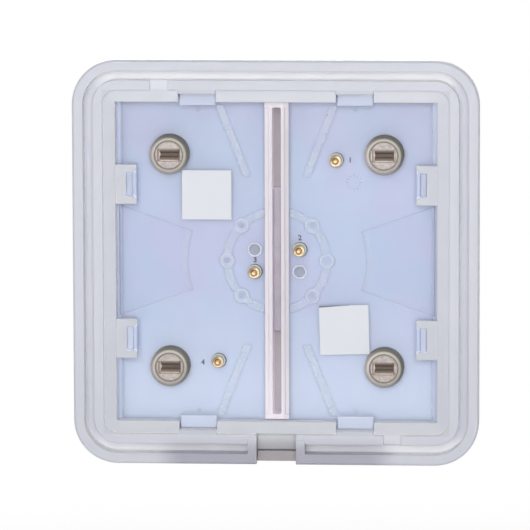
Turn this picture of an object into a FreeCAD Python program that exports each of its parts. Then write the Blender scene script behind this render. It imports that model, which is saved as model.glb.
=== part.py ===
import FreeCAD
import Part
import Sketcher
import math
import os
from types import SimpleNamespace

# Touch panel of a square wall switch, in millimetres, as it hangs on the wall: +Z up,
# front face towards -Y, open rear side towards +Y, origin at the centre of the rear plane.
# A "depth" is measured from that rear plane towards the front, so y = -depth.

SIZES = [
    ("frame_side", 82.0, "outer side of the square diffuser frame"),
    ("frame_corner", 9.0, "outer corner radius of the frame"),
    ("lip_width", 2.15, "width of the outermost rim"),
    ("lip_thick", 2.6, "thickness of the rim over the front panel's edge"),
    ("lip_bevel", 0.4, "bevel of the rim's rear edge"),
    ("groove_width", 1.95, "width of the channel inside the rim"),
    ("groove_depth", 3.8, "depth of the channel's floor"),
    ("floor_thick", 0.8, "thickness of the channel's floor"),
    ("channel_wall", 0.9, "wall between rim and channel floor"),
    ("ridge_width", 1.95, "width of the ridge beside the channel"),
    ("ridge_drop", 0.3, "ridge top below the rear plane"),
    ("band_width", 2.5, "width of the flat band inside the ridge"),
    ("band_drop", 1.5, "band below the rear plane"),
    ("band_thick", 1.2, "thickness of the band"),
    ("skirt_thick", 0.8, "wall from the band down to the clear plate"),
    ("notch_width", 8.0, "pry notch in the lower rim"),
    ("notch_clear", 0.1, "gap between frame and pry pad"),
    ("end_wall", 1.8, "cross wall where the channel ends beside the notch"),
    ("cutout_x", 15.9, "band cut-out from the centre line"),
    ("cutout_width", 7.6, "width of a band cut-out"),
    ("land_width", 0.75, "raised land between ridge and cut-out"),
    ("gap_x", 23.5, "gap in the ridge from the centre line"),
    ("gap_width", 3.6, "width of that gap"),
    ("clip_z", 15.7, "clip bracket above and below the middle"),
    ("clip_tall", 8.0, "height of a clip bracket"),
    ("clip_reach", 4.2, "reach of a clip bracket into the window"),
    ("clip_drop", 1.9, "clip bracket below the rear plane"),
    ("clip_thick", 1.4, "thickness of a clip bracket"),
    ("slot_tall", 4.9, "height of the slot in a clip bracket"),
    ("slot_reach", 2.1, "depth of that slot"),
    ("slot_flare", 0.45, "chamfer at the mouth of that slot"),
    ("bridge_drop", 2.7, "bridge across the mouth of that slot, below the rear plane"),
    ("hook_thick", 1.1, "thickness of a hook on the clear plate"),
    ("hook_clear", 0.15, "clearance round a hook"),
    ("hook_drop", 2.3, "tip of a hook below the rear plane"),
    ("rim_inset", 0.35, "front panel's edge inside the frame's outline"),
    ("rim_clear", 0.1, "clearance between frame and front panel"),
    ("side_draft", 7.0, "lean of the panel's sides, in degrees"),
    ("front_bevel", 0.9, "bevel of the front edge"),
    ("front_thick", 1.8, "thickness of the front wall"),
    ("frame_ledge", 2.0, "ledge that carries the frame"),
    ("board_ledge", 1.6, "ledge that carries the board"),
    ("board_clear", 0.3, "clearance round the board"),
    ("board_thick", 1.0, "thickness of the touch board"),
    ("part_room", 1.3, "room for the parts on the board's front"),
    ("pad_width", 7.8, "width of the pry pad"),
    ("pad_extra", 0.25, "pry pad past the rim's inner side"),
    ("plate_drop", 4.5, "rear face of the clear plate"),
    ("plate_thick", 1.5, "thickness of the clear plate"),
    ("plate_clear", 0.1, "gap round the clear plate"),
    ("tab_reach", 0.9, "tab in a band cut-out past the window's edge"),
    ("tab_drop", 3.4, "tab below the rear plane"),
    ("foot_tall", 0.3, "foot ring under the clear plate"),
    ("foot_width", 1.2, "width of the foot ring"),
    ("strip_gap", 0.2, "end of the white strip inside the window's edge"),
    ("strip_wide", 3.3, "width of the white strip"),
    ("strip_rise", 0.9, "white strip above the clear plate"),
    ("strip_step", 0.35, "step where the strip enters the board"),
    ("strip_clear", 0.1, "clearance round the strip"),
    ("slit_end", 1.05, "white strip past the end of its slot"),
    ("slit_wide", 1.75, "width of the strip's slot"),
    ("slit_bend", 0.4, "corner radius of the strip's slot"),
    ("flange_wide", 0.8, "flange beside the strip"),
    ("flange_thick", 0.45, "thickness of the flange on the clear plate"),
    ("guide_long", 29.0, "length of the light guide"),
    ("guide_clear", 0.05, "clearance round the light guide"),
    ("guide_rise", 2.4, "light guide above the front wall's inner face"),
    ("socket_in_x", 10.75, "middle of a socket inside the window's left and right edges"),
    ("socket_in_z", 10.85, "middle of a socket inside the window's upper and lower edges"),
    ("socket_radius", 3.97, "outer radius of a socket"),
    ("socket_drop", 2.2, "socket top below the rear plane"),
    ("socket_roof", 0.5, "metal over a socket's inner room"),
    ("socket_floor", 0.4, "floor of a socket"),
    ("shoulder_wide", 0.9, "width of a socket's sloping shoulder"),
    ("shoulder_tall", 0.65, "height of that shoulder"),
    ("socket_clear", 0.12, "clearance round a socket in the clear plate"),
    ("mouth_wide", 4.5, "width of a socket's mouth"),
    ("mouth_tall", 2.45, "height of a socket's mouth"),
    ("leaf_thick", 0.25, "sheet of the spring clip in a socket"),
    ("leaf_wide", 3.8, "width of the spring clip"),
    ("leaf_half", 1.75, "spring clip's leaf from the middle at its foot"),
    ("leaf_pinch", 0.3, "half the gap between the leaves"),
    ("leaf_flare", 1.3, "leaf from the middle at its tip"),
    ("leaf_room", 0.1, "room beside the leaf's foot"),
    ("leaf_clear", 0.3, "leaf tip under the socket's roof"),
    ("leaf_slope", 0.9, "flared end of the leaf"),
    ("pin_far_x", 11.95, "outer contact pin from the centre line"),
    ("pin_far_z", 20.5, "outer contact pin above or below the middle"),
    ("pin_near_x", 4.55, "inner contact pin from the centre line"),
    ("pin_near_z", 2.25, "inner contact pin above or below the middle"),
    ("pin_hole", 1.45, "radius of a contact pin's hole"),
    ("spare_hole", 1.1, "radius of a plain hole"),
    ("barrel_radius", 1.1, "outer radius of a contact barrel"),
    ("barrel_bore", 0.8, "bore radius of a contact barrel"),
    ("barrel_drop", 2.6, "mouth of a contact barrel"),
    ("barrel_lip", 0.4, "lip that holds the plunger in"),
    ("barrel_floor", 0.35, "floor of a contact barrel"),
    ("plunger_fit", 0.05, "running clearance of the plunger"),
    ("plunger_radius", 0.6, "radius of the plunger's tip"),
    ("plunger_drop", 1.3, "tip of the plunger below the rear plane"),
    ("plunger_flat", 0.3, "radius of the flat on the plunger's tip"),
    ("plunger_slope", 0.25, "height of the slope round that flat"),
    ("collar_tall", 0.6, "collar that the spring pushes on"),
    ("wire_radius", 0.09, "wire radius of a contact spring"),
    ("spring_gap", 0.05, "gap between spring and bore"),
    ("spring_turns", 3.0, "turns of a contact spring"),
    ("ring_radius", 10.1, "radius of the raised ring on the clear plate"),
    ("ring_wide", 1.5, "width of that ring"),
    ("ring_rise", 0.3, "height of ring, bosses and ribs"),
    ("boss_radius", 1.5, "radius of a boss on the ring"),
    ("rib_wide", 1.5, "width of a slanted rib"),
    ("rib_out_x", 11.6, "outer end of a slanted rib from the centre line"),
    ("rib_gap", 0.85, "outer end of a slanted rib inside the window's edge"),
    ("rib_in_x", 6.0, "inner end of a slanted rib from the centre line"),
    ("rib_in_z", 17.2, "inner end of a slanted rib from the middle"),
    ("field_radius", 18.0, "radius of the sunk field's round inner side"),
    ("field_in_z", 6.0, "half height of the sunk field's inner side"),
    ("field_out_z", 11.3, "half height of the sunk field's outer side"),
    ("field_edge", 0.5, "sunk field's outer side from the window's edge"),
    ("field_deep", 0.25, "depth of the sunk field"),
    ("label_room", 1.6, "ring radius and label side short of the socket's middle"),
    ("label_thick", 0.12, "thickness of a label"),
    ("label_up_x", 1.7, "upper label inward of the middle between ring and socket"),
    ("label_up_z", 2.5, "upper label below the middle between ring and socket"),
    ("label_low_x", 2.3, "lower label inward of the middle between ring and socket"),
    ("label_low_z", 1.85, "lower label above the middle between ring and socket"),
    ("label_turn", 1.5, "turn of the lower label, in degrees"),
    ("chip_side", 5.0, "side of the touch controller"),
    ("chip_tall", 0.9, "height of the touch controller"),
    ("chip_x", 14.0, "touch controller from the centre line"),
    ("lamp_wide", 2.0, "width of a lamp beside the light guide"),
    ("lamp_long", 3.0, "length of a lamp"),
    ("lamp_tall", 0.8, "height of a lamp"),
    ("lamp_z", 8.0, "lamp above and below the middle"),
    ("lamp_gap", 0.3, "gap between lamp and strip"),
    ("overshoot", 0.5, "start and end of a cut outside the solid"),
]

NEAR = 1e-3  # two places closer than this, in millimetres, count as one
BOSSES = 8
COIL_SIDES = 8  # straight runs in one turn of a contact spring
WIRE_SIDES = 4
FULL_TURN = 360


class Dim:
    """A size that knows its value now and its formula in the sheet."""

    def __init__(self, value, formula):
        self.value = value
        self.formula = formula

    def __add__(self, other):
        other = dim(other)
        return Dim(self.value + other.value, "(%s + %s)" % (self.formula, other.formula))

    def __sub__(self, other):
        other = dim(other)
        return Dim(self.value - other.value, "(%s - %s)" % (self.formula, other.formula))

    def __mul__(self, factor):
        return Dim(self.value * factor, "(%s * %r)" % (self.formula, factor))

    def __neg__(self):
        return self * -1.0


def dim(thing):
    """Any number or size as a size."""
    if isinstance(thing, Dim):
        return thing
    return Dim(float(thing), repr(float(thing)))


def bind(target, name, length):
    """Tie a property of an object to its formula."""
    target.setExpression(name, dim(length).formula)


doc = FreeCAD.newDocument("wall_switch_panel")
sheet = doc.addObject("Spreadsheet::Sheet", "Sizes")
for row, (alias, value, meaning) in enumerate(SIZES, start=1):
    sheet.set("A%d" % row, meaning)
    sheet.set("B%d" % row, repr(value))
    sheet.setAlias("B%d" % row, alias)
doc.recompute()

size = SimpleNamespace()
for alias, _, _ in SIZES:
    setattr(size, alias, Dim(float(sheet.get(alias)), "Sizes." + alias))

ZERO = dim(0.0)
OVER = size.overshoot

# Insets from the frame's outline, and depths from the rear plane, that pieces share.
channel_out = size.lip_width - size.channel_wall
ridge_out = size.lip_width + size.groove_width
ridge_in = ridge_out + size.ridge_width
window_inset = ridge_in + size.band_width
frame_half = size.frame_side * 0.5
window_half = frame_half - window_inset
floor_bottom = size.groove_depth + size.floor_thick
rim_in = channel_out - size.rim_clear
pad_in = size.lip_width + size.pad_extra
ledge_in = rim_in + size.frame_ledge
board_in = ledge_in + size.board_clear
cavity_in = ledge_in + size.board_ledge
plate_in = ridge_in + size.plate_clear
plate_under = size.plate_drop + size.plate_thick
board_rear = plate_under + size.foot_tall
board_front = board_rear + size.board_thick
wall_inner = board_front + size.part_room
front_depth = wall_inner + size.front_thick
strip_drop = size.plate_drop - size.strip_rise
strip_half = window_half - size.strip_gap
strip_side = size.strip_wide * 0.5
flange_side = strip_side + size.flange_wide
slit_half = strip_half - size.slit_end
socket_across = window_half - size.socket_in_x
socket_up = window_half - size.socket_in_z
label_side = socket_across - size.ring_radius - size.label_room
between_across = (socket_across + size.ring_radius) * 0.5
between_up = (socket_up + size.ring_radius) * 0.5

SUBPARTS = []


def subpart(kind, name):
    """A labelled object of the document that becomes one node."""
    made = doc.addObject(kind, name)
    made.Label = name
    SUBPARTS.append(made)
    return made


def sketch_on(body, role, depth=None):
    """An empty sketch on one of the body's own planes; on XZ_Plane, depth sinks it."""
    plane = [item for item in body.Origin.OriginFeatures if item.Role == role][0]
    sketch = body.newObject("Sketcher::SketchObject", body.Name + "_sketch")
    sketch.AttachmentSupport = [(plane, "")]
    sketch.MapMode = "FlatFace"
    if depth is not None:
        bind(sketch, "AttachmentOffset.Base.z", depth)
    return sketch


def fix(sketch, geometry, point, across, up):
    """Hold a point of the sketch at its distances from the origin."""
    for axis, line, length in (("X", -2, dim(across)), ("Y", -1, dim(up))):
        if length.formula == ZERO.formula:
            sketch.addConstraint(Sketcher.Constraint("PointOnObject", geometry, point, line))
            continue
        rule = Sketcher.Constraint("Distance" + axis, -1, 1, geometry, point, length.value)
        index = sketch.addConstraint(rule)
        bind(sketch, "Constraints[%d]" % index, length)


def polygon(sketch, corners):
    """A closed outline of straight sides through the corners."""
    corners = [(dim(across), dim(up)) for across, up in corners]
    vectors = [FreeCAD.Vector(across.value, up.value, 0) for across, up in corners]
    first = sketch.GeometryCount
    count = len(vectors)
    for index in range(count):
        sketch.addGeometry(Part.LineSegment(vectors[index], vectors[(index + 1) % count]))
    for index in range(count):
        follower = first + (index + 1) % count
        sketch.addConstraint(Sketcher.Constraint("Coincident", first + index, 2, follower, 1))
    for index, (across, up) in enumerate(corners):
        fix(sketch, first + index, 1, across, up)


def rectangle(sketch, left, bottom, right, top):
    """An upright rectangle between two corners."""
    polygon(sketch, [(left, bottom), (right, bottom), (right, top), (left, top)])


def circle(sketch, across, up, radius):
    """A circle at a place of the sketch."""
    across, up, radius = dim(across), dim(up), dim(radius)
    centre = FreeCAD.Vector(across.value, up.value, 0)
    round_line = sketch.addGeometry(Part.Circle(centre, FreeCAD.Vector(0, 0, 1), radius.value))
    fix(sketch, round_line, 3, across, up)
    index = sketch.addConstraint(Sketcher.Constraint("Radius", round_line, radius.value))
    bind(sketch, "Constraints[%d]" % index, radius)


def rounded(sketch, half_wide, half_tall, radius):
    """A rectangle with rounded corners, centred on the origin."""
    half_wide, half_tall, radius = dim(half_wide), dim(half_tall), dim(radius)
    wide, tall, bend = half_wide.value, half_tall.value, radius.value
    first = sketch.GeometryCount
    signs = ((1, 1), (-1, 1), (-1, -1), (1, -1))
    for quarter, (right, over) in enumerate(signs):
        centre = FreeCAD.Vector(right * (wide - bend), over * (tall - bend), 0)
        arc = Part.Circle(centre, FreeCAD.Vector(0, 0, 1), bend)
        start = quarter * math.pi / 2
        sketch.addGeometry(Part.ArcOfCircle(arc, start, start + math.pi / 2))
    ends = (
        ((wide - bend, tall), (bend - wide, tall)),
        ((-wide, tall - bend), (-wide, bend - tall)),
        ((bend - wide, -tall), (wide - bend, -tall)),
        ((wide, bend - tall), (wide, tall - bend)),
    )
    for start, end in ends:
        sketch.addGeometry(Part.LineSegment(FreeCAD.Vector(*start, 0), FreeCAD.Vector(*end, 0)))
    corners = len(signs)
    for quarter in range(corners):
        arc = first + quarter
        side = first + corners + quarter
        next_arc = first + (quarter + 1) % corners
        sketch.addConstraint(Sketcher.Constraint("Tangent", arc, 2, side, 1))
        sketch.addConstraint(Sketcher.Constraint("Tangent", side, 2, next_arc, 1))
        way = "Horizontal" if quarter % 2 == 0 else "Vertical"
        sketch.addConstraint(Sketcher.Constraint(way, side))
    for quarter in range(1, corners):
        sketch.addConstraint(Sketcher.Constraint("Equal", first, first + quarter))
    index = sketch.addConstraint(Sketcher.Constraint("Radius", first, bend))
    bind(sketch, "Constraints[%d]" % index, radius)
    places = (("Y", half_tall), ("X", -half_wide), ("Y", -half_tall), ("X", half_wide))
    for side, (axis, length) in enumerate(places, start=first + corners):
        rule = Sketcher.Constraint("Distance" + axis, -1, 1, side, 1, length.value)
        index = sketch.addConstraint(rule)
        bind(sketch, "Constraints[%d]" % index, length)


def rounded_inset(sketch, inset):
    """The frame's rounded outline, drawn in by an inset."""
    half = frame_half - inset
    rounded(sketch, half, half, size.frame_corner - inset)


def pad(body, sketch, length):
    """Material from the sketch towards the front."""
    made = body.newObject("PartDesign::Pad", body.Name + "_pad")
    made.Profile = sketch
    bind(made, "Length", length)
    return made


def pocket(body, sketch, length):
    """A hollow from the sketch towards the front."""
    made = body.newObject("PartDesign::Pocket", body.Name + "_pocket")
    made.Profile = sketch
    made.Reversed = True
    bind(made, "Length", length)
    return made


def ring(body, outer_inset, inner_inset, rear, front):
    """A closed ring between two insets and two depths."""
    sketch = sketch_on(body, "XZ_Plane", rear)
    rounded_inset(sketch, outer_inset)
    rounded_inset(sketch, inner_inset)
    return pad(body, sketch, dim(front) - rear)


def turned(body, profile):
    """A turned solid about the depth axis from (depth, radius) corners."""
    sketch = sketch_on(body, "YZ_Plane")
    polygon(sketch, [(-dim(depth), radius) for depth, radius in profile])
    made = body.newObject("PartDesign::Revolution", body.Name + "_turn")
    made.Profile = sketch
    made.ReferenceAxis = (sketch, ["H_Axis"])
    made.Angle = FULL_TURN
    return made


def bevel(body, name, side, wanted):
    """Bevel the edges of the body that the test picks."""
    doc.recompute()
    edges = enumerate(body.Shape.Edges, start=1)
    names = ["Edge%d" % index for index, edge in edges if wanted(edge)]
    base = body.Tip
    made = body.newObject("PartDesign::Chamfer", name)
    made.Base = (base, names)
    bind(made, "Size", side)
    return made


def mirrored_signs():
    """The four quarters of the panel."""
    return ((1, 1), (-1, 1), (1, -1), (-1, -1))


def make_diffuser_frame():
    """Milky frame: rim, channel, ridge, band, window, clips and pry notch in one moulding."""
    body = subpart("PartDesign::Body", "diffuser_frame")
    ring(body, ZERO, size.lip_width, ZERO, size.lip_thick)
    ring(body, channel_out, size.lip_width, ZERO, floor_bottom)
    ring(body, channel_out, ridge_in, size.groove_depth, floor_bottom)
    ring(body, ridge_out, ridge_in, size.ridge_drop, floor_bottom)
    window_ring(body, ridge_out, window_inset, size.band_drop, size.band_drop + size.band_thick)
    skirt_out = window_inset - size.skirt_thick
    window_ring(body, skirt_out, window_inset, size.band_drop, size.plate_drop)
    make_end_walls(body)
    make_lands(body)
    make_clips(body)
    cut_band(body)
    cut_ridge_gaps(body)
    cut_notch(body)
    bevel(body, "rim_bevel", size.lip_bevel, on_rim_outline)


def window_ring(body, outer_inset, inner_inset, rear, front):
    """A ring whose inner side is the square window."""
    sketch = sketch_on(body, "XZ_Plane", rear)
    rounded_inset(sketch, outer_inset)
    half = frame_half - inner_inset
    rectangle(sketch, -half, -half, half, half)
    return pad(body, sketch, dim(front) - rear)


def make_end_walls(body):
    """Cross walls that close the channel on both sides of the notch."""
    sketch = sketch_on(body, "XZ_Plane", ZERO)
    start = size.notch_width * 0.5
    end = start + size.end_wall
    low = -(frame_half - channel_out - size.channel_wall * 0.5)
    high = -(frame_half - ridge_out - size.ridge_width * 0.5)
    rectangle(sketch, start, low, end, high)
    rectangle(sketch, -end, low, -start, high)
    pad(body, sketch, size.groove_depth + size.floor_thick * 0.5)


def make_lands(body):
    """Raised lands that keep the band's cut-outs clear of the ridge."""
    sketch = sketch_on(body, "XZ_Plane", size.ridge_drop)
    low = frame_half - ridge_in - size.land_width
    high = frame_half - ridge_in + size.ridge_width * 0.5
    half = size.cutout_width * 0.5
    for right, over in mirrored_signs():
        centre = size.cutout_x * right
        near, far = (low, high) if over > 0 else (-high, -low)
        rectangle(sketch, centre - half, near, centre + half, far)
    pad(body, sketch, size.plate_drop - size.ridge_drop)


def make_clips(body):
    """Four C-shaped brackets at the window's sides, with a low bridge across each mouth."""
    sketch = sketch_on(body, "XZ_Plane", size.clip_drop)
    root = window_half + size.skirt_thick * 0.5
    mouth = window_half - size.clip_reach
    back = mouth + size.slot_reach
    outer = size.clip_tall * 0.5
    inner = size.slot_tall * 0.5
    for right, over in mirrored_signs():
        corners = [
            (root, outer), (mouth, outer), (mouth, inner + size.slot_flare),
            (mouth + size.slot_flare, inner), (back, inner), (back, -inner),
            (mouth + size.slot_flare, -inner), (mouth, -inner - size.slot_flare),
            (mouth, -outer), (root, -outer),
        ]
        polygon(sketch, [(across * right, size.clip_z * over + up) for across, up in corners])
    pad(body, sketch, size.clip_thick)
    bridges = sketch_on(body, "XZ_Plane", size.bridge_drop)
    end = back - size.hook_thick - size.hook_clear * 2.0
    for right, over in mirrored_signs():
        low, high = size.clip_z * over - outer, size.clip_z * over + outer
        near, far = (mouth, end) if right > 0 else (-end, -mouth)
        rectangle(bridges, near, low, far, high)
    pad(body, bridges, size.clip_drop + size.clip_thick - size.bridge_drop)


def cut_band(body):
    """Four rectangular cut-outs from the window through band and skirt."""
    sketch = sketch_on(body, "XZ_Plane", size.band_drop - OVER)
    low = window_half - size.skirt_thick
    high = frame_half - ridge_in - size.land_width
    half = size.cutout_width * 0.5
    for right, over in mirrored_signs():
        centre = size.cutout_x * right
        near, far = (low, high) if over > 0 else (-high, -low)
        rectangle(sketch, centre - half, near, centre + half, far)
    pocket(body, sketch, size.plate_drop - size.band_drop + OVER * 2.0)


def cut_ridge_gaps(body):
    """Two gaps where the ridge drops to the band."""
    sketch = sketch_on(body, "XZ_Plane", ZERO)
    low = frame_half - ridge_in
    high = frame_half - ridge_out
    half = size.gap_width * 0.5
    rectangle(sketch, size.gap_x - half, low, size.gap_x + half, high)
    rectangle(sketch, -size.gap_x - half, -high, -size.gap_x + half, -low)
    pocket(body, sketch, size.band_drop)


def cut_notch(body):
    """Pry notch: through the rim, and down to the channel's floor behind it."""
    half = size.notch_width * 0.5
    edge = -(frame_half - pad_in - size.notch_clear)
    through = sketch_on(body, "XZ_Plane", -OVER)
    rectangle(through, -half, -frame_half - OVER, half, edge)
    pocket(body, through, front_depth)
    down = sketch_on(body, "XZ_Plane", -OVER)
    rectangle(down, -half, edge - OVER, half, -(frame_half - ridge_in))
    pocket(body, down, size.groove_depth + OVER)


def on_rim_outline(edge):
    """True for an edge of the rim's outline on the rear plane."""
    if edge.BoundBox.YMin < -NEAR:
        return False
    middle = edge.valueAt((edge.FirstParameter + edge.LastParameter) / 2)
    across, up = abs(middle.x), abs(middle.z)
    bend = size.frame_corner.value
    straight = frame_half.value - bend
    if min(across, up) > straight:
        return abs(math.hypot(across - straight, up - straight) - bend) < NEAR
    return abs(max(across, up) - frame_half.value) < NEAR


def make_front_panel():
    """Grey-brown tray: front wall, leaning sides, ledges, pry pad and light slot."""
    body = subpart("PartDesign::Body", "front_panel")
    rear = sketch_on(body, "XZ_Plane", size.lip_thick)
    rounded_inset(rear, size.rim_inset)
    block = pad(body, rear, front_depth - size.lip_thick)
    bind(block, "TaperAngle", -size.side_draft)
    bevel(body, "front_bevel", size.front_bevel, on_front_outline)
    hollows = (
        (rim_in, size.lip_thick, floor_bottom),
        (ledge_in, floor_bottom, board_front),
        (cavity_in, board_front, wall_inner),
    )
    for inset, start, end in hollows:
        sketch = sketch_on(body, "XZ_Plane", start)
        rounded_inset(sketch, inset)
        pocket(body, sketch, end - start)
    pry = sketch_on(body, "XZ_Plane", size.lip_thick)
    half = size.pad_width * 0.5
    low = -(frame_half - rim_in + size.rim_clear)
    rectangle(pry, -half, low, half, -(frame_half - pad_in))
    pad(body, pry, floor_bottom - size.lip_thick + size.rim_clear)
    slot = sketch_on(body, "XZ_Plane", wall_inner - OVER)
    tall = size.guide_long * 0.5 + size.guide_clear
    wide = size.slit_wide * 0.5
    rectangle(slot, -wide, -tall, wide, tall)
    pocket(body, slot, size.front_thick + OVER * 2.0)


def on_front_outline(edge):
    """True for an edge of the front face."""
    return edge.BoundBox.YMax < -front_depth.value + NEAR


def make_clear_carrier():
    """Clear plate with foot ring, ring of bosses, ribs, sunk fields, tabs, hooks and holes."""
    body = subpart("PartDesign::Body", "clear_carrier")
    plate = sketch_on(body, "XZ_Plane", size.plate_drop)
    rounded_inset(plate, plate_in)
    pad(body, plate, size.plate_thick)
    ring(body, plate_in, plate_in + size.foot_width, plate_under, board_rear)
    make_ring(body)
    make_ribs(body)
    sink_fields(body)
    make_tabs(body)
    make_hooks(body)
    cut_strip_slot(body)
    cut_plate_holes(body)


def make_ring(body):
    """Raised ring with a boss every eighth turn."""
    rise = size.plate_drop - size.ring_rise
    sketch = sketch_on(body, "XZ_Plane", rise)
    circle(sketch, ZERO, ZERO, size.ring_radius + size.ring_wide * 0.5)
    circle(sketch, ZERO, ZERO, size.ring_radius - size.ring_wide * 0.5)
    pad(body, sketch, size.ring_rise + size.field_deep)
    sketch = sketch_on(body, "XZ_Plane", rise)
    circle(sketch, size.ring_radius, ZERO, size.boss_radius)
    boss = pad(body, sketch, size.ring_rise + size.field_deep)
    doc.recompute()
    pattern = body.newObject("PartDesign::PolarPattern", "boss_pattern")
    pattern.Originals = [boss]
    pattern.Axis = (sketch, ["N_Axis"])
    pattern.Angle = FULL_TURN
    pattern.Occurrences = BOSSES
    body.Tip = pattern
    doc.recompute()


def make_ribs(body):
    """Four slanted ribs between the ring and the upper and lower edges."""
    sketch = sketch_on(body, "XZ_Plane", size.plate_drop - size.ring_rise)
    side = size.rib_wide * 0.5
    end = window_half - size.rib_gap
    for right, over in mirrored_signs():
        corners = [
            (size.rib_in_x - side, size.rib_in_z), (size.rib_in_x + side, size.rib_in_z),
            (size.rib_out_x + side, end), (size.rib_out_x - side, end),
        ]
        polygon(sketch, [(across * right, up * over) for across, up in corners])
    pad(body, sketch, size.ring_rise + size.field_deep)


def sink_fields(body):
    """A shallow sunk field at each side: round towards the ring, wider towards the window's edge."""
    sketch = sketch_on(body, "XZ_Plane", size.plate_drop)
    outer = window_half - size.field_edge
    swing = math.asin(size.field_in_z.value / size.field_radius.value)
    near = size.field_radius.value * math.cos(swing)
    for right in (1, -1):
        first = sketch.GeometryCount
        centre_angle = 0.0 if right > 0 else math.pi
        rim = Part.Circle(FreeCAD.Vector(0, 0, 0), FreeCAD.Vector(0, 0, 1), size.field_radius.value)
        sketch.addGeometry(Part.ArcOfCircle(rim, centre_angle - swing, centre_angle + swing))
        low, high = -size.field_in_z * right, size.field_in_z * right
        chain = [
            FreeCAD.Vector(near * right, high.value, 0),
            FreeCAD.Vector(outer.value * right, size.field_out_z.value * right, 0),
            FreeCAD.Vector(outer.value * right, -size.field_out_z.value * right, 0),
            FreeCAD.Vector(near * right, low.value, 0),
        ]
        for start, end in zip(chain, chain[1:]):
            sketch.addGeometry(Part.LineSegment(start, end))
        count = sketch.GeometryCount - first
        for step in range(count):
            follower = first + (step + 1) % count
            sketch.addConstraint(Sketcher.Constraint("Coincident", first + step, 2, follower, 1))
        sketch.addConstraint(Sketcher.Constraint("Coincident", first, 3, -1, 1))
        index = sketch.addConstraint(Sketcher.Constraint("Radius", first, size.field_radius.value))
        bind(sketch, "Constraints[%d]" % index, size.field_radius)
        for point, up in ((1, low), (2, high)):
            rule = Sketcher.Constraint("DistanceY", -1, 1, first, point, up.value)
            index = sketch.addConstraint(rule)
            bind(sketch, "Constraints[%d]" % index, up)
        fix(sketch, first + 1, 2, outer * right, size.field_out_z * right)
        fix(sketch, first + 2, 2, outer * right, -size.field_out_z * right)
    pocket(body, sketch, size.field_deep)


def make_tabs(body):
    """Four tabs that fill the band's cut-outs."""
    sketch = sketch_on(body, "XZ_Plane", size.tab_drop)
    half = size.cutout_width * 0.5 - size.hook_clear
    low = window_half - size.tab_reach
    high = frame_half - ridge_in - size.land_width - size.hook_clear
    for right, over in mirrored_signs():
        centre = size.cutout_x * right
        near, far = (low, high) if over > 0 else (-high, -low)
        rectangle(sketch, centre - half, near, centre + half, far)
    pad(body, sketch, size.plate_drop - size.tab_drop + size.field_deep)


def make_hooks(body):
    """Four tongues that stand in the slots of the clip brackets."""
    sketch = sketch_on(body, "XZ_Plane", size.hook_drop)
    back = window_half - size.clip_reach + size.slot_reach - size.hook_clear
    tall = size.slot_tall * 0.5 - size.hook_clear
    for right, over in mirrored_signs():
        middle = size.clip_z * over
        corners = [
            (back - size.hook_thick, middle - tall), (back, middle - tall),
            (back, middle + tall), (back - size.hook_thick, middle + tall),
        ]
        polygon(sketch, [(across * right, up) for across, up in corners])
    pad(body, sketch, size.plate_drop - size.hook_drop + size.field_deep)


def cut_strip_slot(body):
    """The strip's slot, and a bed for its flange where the ring crosses."""
    rise = size.plate_drop - size.ring_rise - OVER
    tall = strip_half + size.strip_clear
    bed = sketch_on(body, "XZ_Plane", rise)
    wide = flange_side + size.strip_clear
    rectangle(bed, -wide, -tall, wide, tall)
    pocket(body, bed, size.ring_rise + OVER)
    slot = sketch_on(body, "XZ_Plane", rise)
    wide = strip_side + size.strip_clear
    rectangle(slot, -wide, -tall, wide, tall)
    pocket(body, slot, front_depth)


def cut_plate_holes(body):
    """Holes for the sockets and contact pins, and two plain holes."""
    sketch = sketch_on(body, "XZ_Plane", size.plate_drop - OVER)
    for right, over in mirrored_signs():
        radius = size.socket_radius + size.socket_clear
        circle(sketch, socket_across * right, socket_up * over, radius)
    for across, up in PIN_PLACES:
        circle(sketch, across, up, size.pin_hole)
    circle(sketch, size.pin_near_x, size.pin_near_z, size.spare_hole)
    circle(sketch, -size.pin_near_x, -size.pin_near_z, size.spare_hole)
    pocket(body, sketch, front_depth)


def make_touch_board():
    """White board with the strip's slot."""
    body = subpart("PartDesign::Body", "touch_board")
    sketch = sketch_on(body, "XZ_Plane", board_rear)
    rounded_inset(sketch, board_in)
    wide = strip_side - size.strip_step + size.strip_clear
    tall = strip_half - size.strip_step + size.strip_clear
    rectangle(sketch, -wide, -tall, wide, tall)
    pad(body, sketch, size.board_thick)


def make_light_strip():
    """White strip with a flange, end blocks and a long slot, stepped where it passes the board."""
    body = subpart("PartDesign::Body", "light_strip_holder")
    flange = sketch_on(body, "XZ_Plane", size.plate_drop - size.flange_thick)
    rectangle(flange, -flange_side, -strip_half, flange_side, strip_half)
    pad(body, flange, size.flange_thick)
    upper = sketch_on(body, "XZ_Plane", strip_drop)
    rectangle(upper, -strip_side, -strip_half, strip_side, strip_half)
    pad(body, upper, board_rear - strip_drop)
    blocks = sketch_on(body, "XZ_Plane", strip_drop)
    rectangle(blocks, -flange_side, slit_half, flange_side, strip_half)
    rectangle(blocks, -flange_side, -strip_half, flange_side, -slit_half)
    pad(body, blocks, size.plate_drop - strip_drop)
    lower = sketch_on(body, "XZ_Plane", board_rear)
    wide = strip_side - size.strip_step
    tall = strip_half - size.strip_step
    rectangle(lower, -wide, -tall, wide, tall)
    pad(body, lower, wall_inner - board_rear)
    slit = sketch_on(body, "XZ_Plane", strip_drop - OVER)
    rounded(slit, size.slit_wide * 0.5, slit_half, size.slit_bend)
    pocket(body, slit, front_depth)
    gates = sketch_on(body, "XZ_Plane", board_front)
    tall = size.lamp_long * 0.5
    for over in (1, -1):
        centre = size.lamp_z * over
        rectangle(gates, ZERO, centre - tall, strip_side, centre + tall)
    pocket(body, gates, size.part_room + OVER)


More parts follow.
